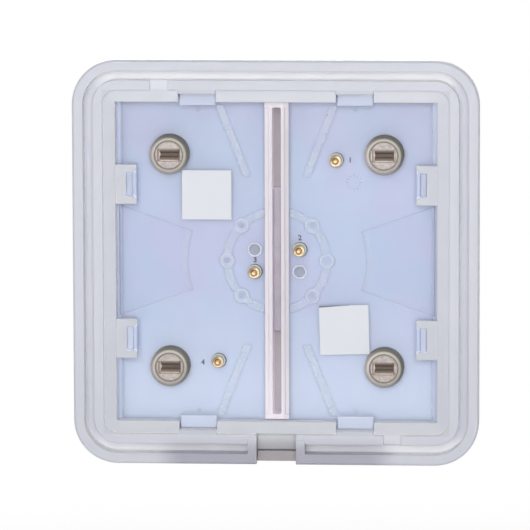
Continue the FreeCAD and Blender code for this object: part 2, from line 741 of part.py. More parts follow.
def make_light_guide():
    """Clear bar that fills the front wall's slot in the middle of the strip."""
    body = subpart("PartDesign::Body", "light_guide")
    sketch = sketch_on(body, "XZ_Plane", wall_inner - size.guide_rise)
    wide = size.slit_wide * 0.5 - size.guide_clear
    tall = size.guide_long * 0.5
    rectangle(sketch, -wide, -tall, wide, tall)
    pad(body, sketch, size.front_thick + size.guide_rise)


def make_socket(number, right, over):
    """Nickel socket with a sloping shoulder, a mouth and a wider inner room."""
    body = subpart("PartDesign::Body", "socket_shell_%d" % number)
    turned(body, [
        (size.socket_drop, ZERO), (size.socket_drop, size.socket_radius - size.shoulder_wide),
        (size.socket_drop + size.shoulder_tall, size.socket_radius),
        (board_rear, size.socket_radius), (board_rear, ZERO),
    ])
    wide = size.mouth_wide * 0.5
    tall = size.mouth_tall * 0.5
    mouth = sketch_on(body, "XZ_Plane", size.socket_drop - OVER)
    rectangle(mouth, -wide, -tall, wide, tall)
    pocket(body, mouth, size.socket_roof + OVER * 2.0)
    room = sketch_on(body, "XZ_Plane", size.socket_drop + size.socket_roof)
    tall = size.leaf_half + size.leaf_room
    rectangle(room, -wide, -tall, wide, tall)
    pocket(body, room, board_rear - size.socket_floor - size.socket_drop - size.socket_roof)
    stand(body, socket_across * right, socket_up * over)


def make_socket_spring(number, right, over):
    """Folded spring clip inside a socket, pinched towards its middle."""
    body = subpart("PartDesign::Body", "socket_spring_%d" % number)
    sheet_thick = size.leaf_thick
    foot = board_rear - size.socket_floor
    tip = size.socket_drop + size.socket_roof + size.leaf_clear
    pinch = tip + size.leaf_slope
    half = [
        (foot, size.leaf_half), (pinch, size.leaf_pinch + sheet_thick),
        (tip, size.leaf_flare), (tip, size.leaf_flare - sheet_thick),
        (pinch, size.leaf_pinch), (foot - sheet_thick, size.leaf_half - sheet_thick),
    ]
    outline = half + [(depth, -up) for depth, up in reversed(half)]
    sketch = sketch_on(body, "YZ_Plane")
    polygon(sketch, [(-depth, up) for depth, up in outline])
    made = pad(body, sketch, size.leaf_wide)
    made.Midplane = True
    stand(body, socket_across * right, socket_up * over)


def make_barrel(number, across, up):
    """Gold barrel of a contact pin, standing on the board."""
    body = subpart("PartDesign::Body", "contact_barrel_%d" % number)
    neck = size.plunger_radius + size.plunger_fit
    chest = size.barrel_drop + size.barrel_lip
    floor = board_rear - size.barrel_floor
    turned(body, [
        (size.barrel_drop, neck), (size.barrel_drop, size.barrel_radius),
        (board_rear, size.barrel_radius), (board_rear, ZERO), (floor, ZERO),
        (floor, size.barrel_bore), (chest, size.barrel_bore), (chest, neck),
    ])
    stand(body, across, up)


def make_plunger(number, across, up):
    """Gold plunger with a sloped tip and a collar under the barrel's lip."""
    body = subpart("PartDesign::Body", "contact_plunger_%d" % number)
    chest = size.barrel_drop + size.barrel_lip
    foot = chest + size.collar_tall
    collar = size.barrel_bore - size.plunger_fit
    turned(body, [
        (size.plunger_drop, ZERO), (size.plunger_drop, size.plunger_flat),
        (size.plunger_drop + size.plunger_slope, size.plunger_radius),
        (chest, size.plunger_radius), (chest, collar), (foot, collar), (foot, ZERO),
    ])
    stand(body, across, up)


def make_spring(number, across, up):
    """Coil spring between the plunger's collar and the barrel's floor."""
    node = subpart("Part::Feature", "contact_spring_%d" % number)
    wire = size.wire_radius.value
    mean = size.barrel_bore.value - size.spring_gap.value - wire
    start = size.barrel_drop.value + size.barrel_lip.value + size.collar_tall.value + wire
    end = board_rear.value - size.barrel_floor.value - wire
    count = int(round(size.spring_turns.value * COIL_SIDES))
    path = []
    for index in range(count + 1):
        angle = 2 * math.pi * index / COIL_SIDES
        depth = start + (end - start) * index / count
        path.append(FreeCAD.Vector(mean * math.cos(angle), -depth, mean * math.sin(angle)))
    along = (path[1] - path[0]).normalize()
    inward = FreeCAD.Vector(1, 0, 0)
    across_way = along.cross(inward).normalize()
    section = []
    for index in range(WIRE_SIDES + 1):
        angle = 2 * math.pi * index / WIRE_SIDES
        section.append(path[0] + inward * (wire * math.cos(angle)) + across_way * (wire * math.sin(angle)))
    spine = Part.makePolygon(path)
    node.Shape = spine.makePipeShell([Part.makePolygon(section)], True, False, 1)
    node.Placement = FreeCAD.Placement(FreeCAD.Vector(across.value, 0, up.value), FreeCAD.Rotation())


def stand(node, across, up):
    """Move a sub-part to its place on the panel."""
    bind(node, "Placement.Base.x", across)
    bind(node, "Placement.Base.z", up)


def make_label(name, across, up, turn):
    """Thin square label lying on the clear plate."""
    body = subpart("PartDesign::Body", name)
    sketch = sketch_on(body, "XZ_Plane", size.plate_drop - size.label_thick)
    half = label_side * 0.5
    rectangle(sketch, -half, -half, half, half)
    pad(body, sketch, size.label_thick)
    body.Placement.Rotation = FreeCAD.Rotation(FreeCAD.Vector(0, 1, 0), turn.value)
    stand(body, across, up)


def make_board_parts():
    """Touch controller and two lamps on the front side of the board."""
    half = size.chip_side * 0.5
    chip = subpart("PartDesign::Body", "touch_controller")
    sketch = sketch_on(chip, "XZ_Plane", board_front)
    rectangle(sketch, -half, -half, half, half)
    pad(chip, sketch, size.chip_tall)
    stand(chip, size.chip_x, ZERO)
    for name, over in (("guide_lamp_upper", 1), ("guide_lamp_lower", -1)):
        lamp = subpart("PartDesign::Body", name)
        sketch = sketch_on(lamp, "XZ_Plane", board_front)
        wide = size.lamp_wide * 0.5
        tall = size.lamp_long * 0.5
        rectangle(sketch, -wide, -tall, wide, tall)
        pad(lamp, sketch, size.lamp_tall)
        beside = strip_side - size.strip_step + size.lamp_gap + wide
        stand(lamp, beside, size.lamp_z * over)


PIN_PLACES = (
    (-size.pin_far_x, size.pin_far_z),
    (-size.pin_near_x, size.pin_near_z),
    (size.pin_near_x, -size.pin_near_z),
    (size.pin_far_x, -size.pin_far_z),
)

make_front_panel()
make_diffuser_frame()
make_clear_carrier()
make_touch_board()
make_light_strip()
make_light_guide()
for number, (right, over) in enumerate(mirrored_signs(), start=1):
    make_socket(number, right, over)
    make_socket_spring(number, right, over)
for number, (across, up) in enumerate(PIN_PLACES, start=1):
    make_barrel(number, across, up)
    make_plunger(number, across, up)
    make_spring(number, across, up)
make_label("label_upper", between_across - size.label_up_x, between_up - size.label_up_z, ZERO)
make_label("label_lower", size.label_low_x - between_across, size.label_low_z - between_up, size.label_turn)
make_board_parts()
doc.recompute()

for item in doc.Objects:
    if "Invalid" in item.State or "Error" in item.State:
        raise RuntimeError("%s failed: %s" % (item.Name, item.State))

os.makedirs("parts", exist_ok=True)
for node in SUBPARTS:
    if node.Shape.isNull() or not node.Shape.isValid():
        raise RuntimeError("%s has no valid shape" % node.Label)
    node.Shape.exportStep("parts/%s.step" % node.Label)
    box = node.Shape.BoundBox
    print("%-22s solids %d volume %9.3f x %.2f %.2f y %.2f %.2f z %.2f %.2f" % (
        node.Label, len(node.Shape.Solids), node.Shape.Volume,
        box.XMin, box.XMax, box.YMin, box.YMax, box.ZMin, box.ZMax))
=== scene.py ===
import bmesh
import bpy
import math
from bpy.props import FloatProperty, FloatVectorProperty, IntProperty, PointerProperty
from mathutils import Matrix, Vector


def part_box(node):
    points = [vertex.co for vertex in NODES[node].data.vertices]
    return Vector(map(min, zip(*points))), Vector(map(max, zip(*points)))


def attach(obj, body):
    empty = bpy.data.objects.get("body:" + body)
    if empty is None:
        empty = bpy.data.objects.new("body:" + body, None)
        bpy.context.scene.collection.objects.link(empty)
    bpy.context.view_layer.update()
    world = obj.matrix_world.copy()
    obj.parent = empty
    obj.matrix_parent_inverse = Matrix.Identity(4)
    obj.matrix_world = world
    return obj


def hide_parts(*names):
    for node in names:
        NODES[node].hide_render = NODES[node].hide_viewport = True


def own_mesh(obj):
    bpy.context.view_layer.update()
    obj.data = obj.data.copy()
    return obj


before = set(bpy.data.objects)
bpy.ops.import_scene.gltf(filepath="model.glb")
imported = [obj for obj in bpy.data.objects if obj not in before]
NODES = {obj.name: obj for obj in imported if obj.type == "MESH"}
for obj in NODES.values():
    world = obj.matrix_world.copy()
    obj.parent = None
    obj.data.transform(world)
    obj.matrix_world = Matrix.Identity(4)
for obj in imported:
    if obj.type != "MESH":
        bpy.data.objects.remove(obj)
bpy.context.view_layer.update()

bl_info = {
    "name": "Wall switch touch panel",
    "version": (1, 0, 0),
    "blender": (4, 5, 0),
    "location": "3D Viewport > Sidebar > Touch Panel",
    "description": "Finishes, prints, labels and stage of the rear side of a wall switch touch panel",
    "category": "Object",
}

QUARTERS = (1, 2, 3, 4)
BOARD_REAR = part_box("touch_board")[1].y
PLATE_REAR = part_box("label_upper")[0].y


def colour(name, about, rgb):
    """A colour that the user may change."""
    return FloatVectorProperty(
        name=name, description=about, subtype="COLOR", size=3, min=0.0, max=1.0, default=rgb,
    )


def length(name, about, metres, least=0.0):
    """A length that the user may change."""
    return FloatProperty(
        name=name, description=about, subtype="DISTANCE", unit="LENGTH",
        precision=5, min=least, default=metres,
    )


def angle(name, about, degrees):
    """An angle that the user may change."""
    return FloatProperty(name=name, description=about, subtype="ANGLE", default=math.radians(degrees))


def share(name, about, part):
    """A share between nothing and all."""
    return FloatProperty(name=name, description=about, subtype="FACTOR", min=0.0, max=1.0, default=part)


def power(name, about, watts):
    """A lamp's power that the user may change."""
    return FloatProperty(name=name, description=about, subtype="POWER", min=0.0, default=watts)


class PanelFinish(bpy.types.PropertyGroup):
    """Colours and surface of each moulding and metal part."""

    milky: colour("Milky frame", "Satin translucent plastic of the diffuser frame", (0.680, 0.697, 0.765))
    # Painted light: the channel floor is made lighter where its walls shade it.
    milky_deep: colour("Frame floor", "Milky plastic where it lies deeper", (0.980, 0.985, 1.000))
    # Darker zone along the middle of the lower rim.
    milky_dim: colour("Frame, dim zone", "Lower rim where the grey panel shows", (0.430, 0.425, 0.500))
    # Channel floor by the side rims, kept near the frame's own tone and a little different left and right;
    # the top and bottom floors get painted light.
    milky_side: colour("Frame floor, flanks", "Channel floor beside the side rims", (0.690, 0.705, 0.760))
    # Painted light: walls and corners of the frame are made nearly white against their shade; also the tone
    # of the glow in the hook gaps.
    milky_glow: colour("Frame walls", "Light that the plastic carries to corners", (0.950, 0.955, 0.990))
    milky_thin: colour("Frame, thin bridge", "Bridges where the board shows through", (0.560, 0.620, 0.790))
    milky_wall: colour("Frame, dim wall", "Lower wall of the channel above the panel", (0.620, 0.600, 0.670))
    # Painted highlight along the frame's edges.
    milky_edge: colour("Frame edges", "Light that gathers along the frame's edges", (0.740, 0.752, 0.815))
    clear: colour("Clear plate", "Tint of the clear moulded plate", (0.600, 0.670, 0.840))
    # Painted highlight along the plate's edges and marks.
    clear_edge: colour("Clear edges", "Light that gathers along the plate's edges", (0.800, 0.850, 0.930))
    # Painted light: tabs and hooks that stand above the plate are made opaque and light against their shade.
    clear_rise: colour("Tabs and hooks", "Clear plastic that stands above the plate", (0.610, 0.665, 0.830))
    # Painted light: the plate's border is nearly opaque, so the frame's shade on the board beneath does not
    # show.
    clear_side: colour("Plate's border", "Lavender band along the window's edge", (0.610, 0.665, 0.840))
    clear_foot: colour("Clear corners", "Shade along the foot of ribs and ring", (0.400, 0.440, 0.600))
    clear_gate: colour("Gate marks", "Dull spots that moulding leaves", (0.780, 0.700, 0.780))
    # Painted shade: dark crescent beside each pin's hole.
    clear_dark: colour("Hole edges", "Dark crescent of a hole's wall", (0.100, 0.110, 0.160))
    clear_body: share("Clear plate haze", "How much the plate hides the board", 0.12)
    board: colour("Board", "Solder mask of the touch board", (0.555, 0.655, 0.855))
    board_warm: colour("Board, second tone", "Lavender patches of the board", (0.590, 0.625, 0.845))
    # Painted light: the board is lighter towards its lower edge.
    board_low: colour("Board, lower end", "Solder mask near the lower edge", (0.710, 0.800, 0.980))
    # Partly the white board seen without the plate's tint, partly painted light in the deep gap round a pin.
    land: colour("Board, bare land", "White board seen straight through a pin's hole", (0.760, 0.790, 0.880))
    # Painted shade: grey discs under the plain holes.
    pad: colour("Bare pads", "Grey pads under the plain holes", (0.400, 0.430, 0.520))
    panel: colour("Front panel", "Grey-brown plastic of the front panel", (0.360, 0.335, 0.350))
    strip: colour("White strip", "Satin white strip with the long slot", (0.785, 0.735, 0.795))
    guide: colour("Light guide", "Pale bar at the bottom of the slot", (0.435, 0.397, 0.463))
    nickel: colour("Nickel", "Plated shells of the sockets", (0.385, 0.350, 0.335))
    # Painted shade on the upper right of a socket's shoulder.
    nickel_ring: colour("Nickel, shaded ring", "Upper right of a socket's shoulder", (0.560, 0.545, 0.500))
    # Painted shade in a socket's round cut and on its outer slope.
    nickel_cut: colour("Nickel, cuts", "A socket's round cut and outer slope", (0.190, 0.175, 0.145))
    spring: colour("Spring steel", "Clips and coils", (0.360, 0.305, 0.270))
    gold: colour("Gold", "Plated contact pins", (0.540, 0.400, 0.245))
    collar: colour("Collar", "White collars round the contact pins", (0.600, 0.615, 0.575))
    gold_dim: colour("Gold, far side", "Brown shade on a pin's upper side", (0.200, 0.135, 0.080))
    paper: colour("Label", "White square labels", (0.790, 0.810, 0.865))
    # Painted shadow under the loose edge of the lower label.
    paper_gap: colour("Label gap", "Dark gap along the loose edge of the lower label", (0.170, 0.170, 0.200))
    ink: colour("Ink", "Numbers printed beside the contact pins", (0.080, 0.085, 0.120))


class PanelDetail(bpy.types.PropertyGroup):
    """Sizes of the prints and labels."""

    digit_tall: length("Number height", "Height of a number beside a contact pin", 0.00104)
    digit_bold: length("Stroke", "Added to a number's strokes on each side", 0.00006)
    digit_thick: length("Ink thickness", "Thickness of the printed ink", 0.00002)
    tick_long: length("Tick length", "Length of a tick inside the moulded dial ring", 0.00055)
    tick_wide: length("Tick width", "Width of such a tick", 0.00012)
    tick_count: IntProperty(name="Ticks", description="Ticks inside the dial ring", min=1, default=12)
    label_lift: length("Label lift", "Height of the lower label's loose corner", 0.00022)


class PanelStage(bpy.types.PropertyGroup):
    """Camera, lamps and floor."""

    azimuth: angle("Azimuth", "Camera turned from straight behind the panel", 4.07)
    elevation: angle("Elevation", "Camera above the panel's middle", 7.51)
    roll: angle("Roll", "Camera turned about its own axis", -0.162)
    distance: length("Distance", "Camera from the point it looks at", 1.0748)
    lens: FloatProperty(name="Lens", description="Focal length in millimetres", min=1.0, default=362.73)
    aim_x: length("Aim across", "Point looked at, from the panel's middle", 0.00212, least=-1.0)
    aim_z: length("Aim up", "Point looked at, from the panel's middle", -0.000279, least=-1.0)
    floor_drop: length("Floor", "Floor below the panel's middle", 0.120)
    sky: FloatProperty(name="Sky", description="Strength of the even light", min=0.0, default=0.19)
    key: power("Key lamp", "Power of the lamp beside the camera", 12.5)
    fill: power("Fill lamp", "Power of the lamp above the camera", 2.2)
    front: power("Front lamp", "Power of the lamp before the panel", 14.0)


BLACK = (0.0, 0.0, 0.0)
WHITE = (1.0, 1.0, 1.0, 1.0)
FADE = 0.00005  # metres over which a limit fades out


class Finish:
    """A procedural material and short ways to wire its nodes."""

    def __init__(self, name):
        self.material = bpy.data.materials.new(name)
        self.material.use_nodes = True
        self.nodes = self.material.node_tree.nodes
        self.shader = self.nodes["Principled BSDF"]
        self.place = self.add("ShaderNodeTexCoord").outputs["Object"]

    def add(self, kind, **settings):
        node = self.nodes.new(kind)
        for name, value in settings.items():
            setattr(node, name, value)
        return node

    def join(self, source, target):
        self.material.node_tree.links.new(source, target)

    def math(self, operation, first, second=0.0, clamp=False):
        node = self.add("ShaderNodeMath", operation=operation, use_clamp=clamp)
        for socket, value in zip(node.inputs, (first, second)):
            if isinstance(value, bpy.types.NodeSocket):
                self.join(value, socket)
            else:
                socket.default_value = value
        return node.outputs["Value"]

    def noise(self, scale, detail=2.0, roughness=0.5):
        node = self.add("ShaderNodeTexNoise")
        node.inputs["Scale"].default_value = scale
        node.inputs["Detail"].default_value = detail
        node.inputs["Roughness"].default_value = roughness
        self.join(self.place, node.inputs["Vector"])
        return node.outputs["Fac"]

    def span(self, value, low, high, to_low=0.0, to_high=1.0):
        """Map a value from one range to another, eased at both ends."""
        node = self.add("ShaderNodeMapRange", interpolation_type="SMOOTHSTEP")
        self.join(value, node.inputs["Value"])
        for name, number in zip(("From Min", "From Max", "To Min", "To Max"), (low, high, to_low, to_high)):
            node.inputs[name].default_value = number
        return node.outputs["Result"]

    def mix(self, factor, first, second):
        """Blend two colours; each is a colour or another blend."""
        node = self.add("ShaderNodeMix", data_type="RGBA")
        self.join(factor, node.inputs["Factor"])
        for socket, value in zip((node.inputs[6], node.inputs[7]), (first, second)):
            if isinstance(value, bpy.types.NodeSocket):
                self.join(value, socket)
            else:
                socket.default_value = (*value, 1.0)
        return node.outputs[2]

    def axes(self):
        """The place on the object as three numbers."""
        node = self.add("ShaderNodeSeparateXYZ")
        self.join(self.place, node.inputs["Vector"])
        return node.outputs

    def facing(self):
        """The direction a face looks in, as three numbers."""
        node = self.add("ShaderNodeSeparateXYZ")
        self.join(self.add("ShaderNodeNewGeometry").outputs["Normal"], node.inputs["Vector"])
        return node.outputs

    def upright(self):
        """One on walls and nothing on faces that look to the rear or the front."""
        return self.span(self.math("ABSOLUTE", self.facing()["Y"]), 0.6, 0.2)

    def within(self, value, limits):
        """One between two limits and nothing outside them."""
        low, high = limits
        return self.math("MULTIPLY", self.span(value, low - FADE, low), self.span(value, high + FADE, high))

    def times(self, *values):
        """All values multiplied."""
        product = values[0]
        for value in values[1:]:
            product = self.math("MULTIPLY", product, value)
        return product

    def edges(self, radius):
        """Nearly nothing on flat faces and up to one along sharp edges."""
        flat = self.add("ShaderNodeNewGeometry")
        dot = self.add("ShaderNodeVectorMath", operation="DOT_PRODUCT")
        self.join(self.soft_normal(radius), dot.inputs[0])
        self.join(flat.outputs["Normal"], dot.inputs[1])
        return self.span(dot.outputs["Value"], 0.995, 0.80)

    def hollow(self, reach):
        """Nothing in the open and up to one in corners."""
        probe = self.add("ShaderNodeAmbientOcclusion", samples=8, only_local=True)
        probe.inputs["Distance"].default_value = reach
        return self.math("SUBTRACT", 1.0, probe.outputs["AO"])

    def flattened(self):
        """The place with its depth left out."""
        node = self.add("ShaderNodeVectorMath", operation="MULTIPLY")
        self.join(self.place, node.inputs[0])
        node.inputs[1].default_value = (1.0, 0.0, 1.0)
        return node.outputs["Vector"]

    def away(self, place, point):
        """Distance of a place from a fixed point."""
        node = self.add("ShaderNodeVectorMath", operation="DISTANCE")
        self.join(place, node.inputs[0])
        node.inputs[1].default_value = point
        return node.outputs["Value"]

    def line(self, distance, radius, width):
        """One along a circle's line and nothing beyond its width."""
        return self.span(self.math("ABSOLUTE", self.math("SUBTRACT", distance, radius)), width, 0.0)

    def most(self, values):
        """The highest of several values."""
        top = values[0]
        for value in values[1:]:
            top = self.math("MAXIMUM", top, value)
        return top

    def relief(self, height, depth, normal=None):
        """Bump the surface by a height pattern."""
        node = self.add("ShaderNodeBump")
        node.inputs["Distance"].default_value = depth
        node.inputs["Strength"].default_value = 1.0
        self.join(height, node.inputs["Height"])
        if normal is not None:
            self.join(normal, node.inputs["Normal"])
        self.join(node.outputs["Normal"], self.shader.inputs["Normal"])

    def soft_normal(self, radius):
        """Surface direction with its edges rounded."""
        bevel = self.add("ShaderNodeBevel", samples=6)
        bevel.inputs["Radius"].default_value = radius
        return bevel.outputs["Normal"]

    def base(self, socket):
        self.join(socket, self.shader.inputs["Base Color"])

    def tone(self):
        """The colour that has been set so far."""
        return self.shader.inputs["Base Color"].links[0].from_socket

    def round_place(self, middle):
        """Place across and up from a middle, and the distance from it."""
        axes = self.axes()
        across = self.math("SUBTRACT", axes["X"], middle.x)
        up = self.math("SUBTRACT", axes["Z"], middle.z)
        return across, up, self.away(self.flattened(), (middle.x, 0.0, middle.z))

    def glow(self, factor, tone, strength):
        """Painted light: emission that stands in for light reaching a place where there is no lamp."""
        self.shader.inputs["Emission Color"].default_value = (*tone, 1.0)
        self.join(self.math("MULTIPLY", factor, strength), self.shader.inputs["Emission Strength"])

    def rough(self, low, high, scale):
        """Roughness that wanders between two values."""
        self.join(self.span(self.noise(scale, 3.0), 0.3, 0.7, low, high), self.shader.inputs["Roughness"])

    def skin(self, rough, grain, depth, rounding=None):
        """Roughness, fine relief and rounded edges."""
        self.rough(*rough)
        self.relief(self.noise(*grain), depth, None if rounding is None else self.soft_normal(rounding))


def coat_node(name, finish):
    """Give one CAD node its finish."""
    NODES[name].data.materials.clear()
    NODES[name].data.materials.append(finish.material)


def lighter(rgb, factor):
    """The same colour made lighter or darker."""
    return tuple(min(1.0, part * factor) for part in rgb)


def speckled(name, pattern, limits, first, second):
    """A material whose colour wanders between two tones."""
    finish = Finish(name)
    finish.base(finish.mix(finish.span(finish.noise(*pattern), *limits), first, second))
    return finish


def show(name, mesh, *materials):
    """A new object in the scene with a mesh and its materials."""
    for material in materials:
        mesh.materials.append(material)
    piece = bpy.data.objects.new(name, mesh)
    bpy.context.scene.collection.objects.link(piece)
    return piece


# Where the front panel shows through the light strip's slot, and the panel's lower end, in metres.
SLOT_HALF = 0.0011
SLOT_END = 0.0325
SLOT_FLOOR = -0.0094
LOWER_END = -0.030


class TOUCHPANEL_OT_front_panel(bpy.types.Operator):
    """Satin grey-brown plastic of the front panel"""

    bl_idname = "touch_panel.front_panel"
    bl_label = "Front panel"

    def execute(self, context):
        tone = context.scene.panel_finish.panel
        finish = Finish("panel_grey")
        speckle = finish.span(finish.noise(9000.0, 3.0), 0.35, 0.65)
        grained = finish.mix(speckle, lighter(tone, 0.95), lighter(tone, 1.05))
        x, y, z = finish.axes()
        # Painted light: the panel's inner face behind the slot is made lighter, more so towards the lower
        # end, where the slot shades it.
        middle = finish.span(finish.math("ABSOLUTE", x), SLOT_HALF + 0.0005, SLOT_HALF)
        deep = finish.span(y, SLOT_FLOOR, SLOT_FLOOR + 0.0006)
        along = finish.span(finish.math("ABSOLUTE", z), SLOT_END + 0.0005, SLOT_END)
        behind_slot = finish.times(middle, deep, along)
        glow = finish.mix(finish.span(z, 0.0, LOWER_END), lighter(tone, 1.32), lighter(tone, 1.52))
        lit = finish.mix(behind_slot, grained, glow)
        # Painted highlight: the panel is lighter along its sharp edges.
        finish.base(finish.mix(finish.edges(0.0003), lit, lighter(tone, 1.25)))
        finish.skin((0.42, 0.55, 500.0), (6000.0, 4.0), 0.00001, 0.0002)
        coat_node("front_panel", finish)
        return {"FINISHED"}


# Places on the frame in metres, some as pairs of limits.
CHANNEL_FLOOR = -0.0042
RIM_HALF = 0.041
BAND_EDGE = 0.0348
NOTCH_HALF = 0.0040
BRIDGE_ACROSS = (0.0279, 0.02905)
BRIDGE_UP = (0.0132, 0.0182)
GAP_ACROSS = (0.0279, 0.0312)
GAP_UP = (0.0128, 0.0188)


class TOUCHPANEL_OT_diffuser_frame(bpy.types.Operator):
    """Milky translucent plastic of the frame, darker along the middle of the lower rim, with painted light
    and painted shade
    """

    bl_idname = "touch_panel.diffuser_frame"
    bl_label = "Diffuser frame"

    def execute(self, context):
        tones = context.scene.panel_finish
        finish = Finish("milky")
        x, y, z = finish.axes()
        across, up = finish.math("ABSOLUTE", x), finish.math("ABSOLUTE", z)
        # Painted light: deeper places are lighter, most on the top and bottom channel floors; the flanks
        # differ a little left and right.
        depth = finish.span(y, CHANNEL_FLOOR, -0.0001)
        cloud = finish.span(finish.noise(90.0, 3.0), 0.3, 0.7, 0.0, 0.35)
        flank = finish.span(finish.math("SUBTRACT", up, across), 0.003, -0.003)
        flank = finish.times(flank, finish.span(x, 0.0, -0.001, 0.9, 1.0))
        deep = finish.mix(flank, tones.milky_deep, tones.milky_side)
        body = finish.mix(depth, deep, tones.milky)
        blend = finish.mix(cloud, body, lighter(tones.milky, 1.03))
        # Painted highlight: lighter along the frame's edges.
        edged = finish.mix(finish.edges(0.00025), blend, tones.milky_edge)
        # Painted shade: the frame darkens a little towards the bottom.
        shaded = finish.mix(finish.span(z, 0.0, -RIM_HALF, 0.0, 0.06), edged, BLACK)
        reach = finish.math("MAXIMUM", across, up)
        # Painted shade: the lower-lying inner band is darkened a little.
        band = finish.mix(finish.span(reach, BAND_EDGE + 0.0004, BAND_EDGE, 0.0, 0.08), shaded, BLACK)
        # Painted shade: the floor of the notch in the lower rim is darkened.
        notch_shade = finish.times(
            finish.span(across, NOTCH_HALF + 0.0004, NOTCH_HALF),
            finish.span(z, -0.0340, -0.0385),
            finish.span(y, -0.0010, -0.0020),
        )
        # Painted light: walls and hollow corners are made nearly white against their shade.
        soft = finish.math("MAXIMUM", finish.upright(), finish.span(finish.hollow(0.0005), 0.20, 0.55))
        glowing = finish.mix(finish.math("MULTIPLY", soft, 0.90), band, tones.milky_glow)
        notch_shaded = finish.mix(finish.math("MULTIPLY", notch_shade, 0.50), glowing, BLACK)
        # Darker along the middle of the lower rim: its upward-facing wall gets its own tone, and the deeper
        # floor is darkened less than the rim.
        low = finish.times(finish.span(across, 0.0255, 0.0185), finish.span(z, -0.0352, -0.0388))
        wall = finish.times(low, finish.span(finish.facing()["Z"], 0.5, 0.9))
        rear = finish.times(low, finish.span(y, -0.0034, -0.0026, 0.30, 1.0))
        dimmed = finish.mix(wall, finish.mix(rear, notch_shaded, tones.milky_dim), tones.milky_wall)
        bridge = finish.times(finish.within(across, BRIDGE_ACROSS), finish.within(up, BRIDGE_UP))
        finish.base(finish.mix(bridge, dimmed, tones.milky_thin))
        # Painted light: the corners of the gaps round the hooks glow, against their deep shade.
        gap = finish.times(finish.within(across, GAP_ACROSS), finish.within(up, GAP_UP))
        corner = finish.span(finish.hollow(0.0008), 0.15, 0.50)
        finish.glow(finish.times(gap, corner), tones.milky_glow, 0.45)
        finish.shader.inputs["Subsurface Weight"].default_value = 0.6
        finish.shader.inputs["Subsurface Radius"].default_value = (1.0, 0.97, 0.93)
        finish.shader.inputs["Subsurface Scale"].default_value = 0.0008
        finish.skin((0.38, 0.50, 400.0), (5000.0, 3.0), 0.000006, 0.00025)
        coat_node("diffuser_frame", finish)
        return {"FINISHED"}


PINS = tuple(sum(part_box("contact_barrel_%d" % number), Vector()) / 2 for number in QUARTERS)
PLAIN_HOLES = ((0.00455, 0.00225), (-0.00455, -0.00225))
HOLE_EDGE = 0.00155
HOLE_SHIFT = Vector((-0.00012, 0.0, 0.00007))

# Places on the clear plate, in metres, mirrored into all four quarters.
ROUND_MARKS = ((0.02915, 0.0, 0.02915), (0.0247, 0.0, 0.0157))
ROUND_MARK = 0.0024
GATE = (0.0159, 0.0, 0.03075)
BOSSES = ((0.0101, 0.0, 0.0), (0.00714, 0.0, 0.00714))
BOSS_RING = 0.00130
PIN_HOLE = 0.00150
PLAIN_HOLE = 0.00135
FIELD_RADIUS = 0.0188
PLATE_SIDE = 0.0310
HOOK_SIDE = 0.0265
DIAL = Vector((-0.0156, PLATE_REAR, 0.0160))
DIAL_RADIUS = 0.0020
TICK_REACH = 0.82  # a tick's outer end as a share of the dial's radius
TICK_TOP, TICK_FOOT = 0.00005, -0.00003
# Painted light on the walls of the plate's relief and of the pins' holes.
PAINTED_WALL_LIGHT = (0.95, 0.96, 0.99)


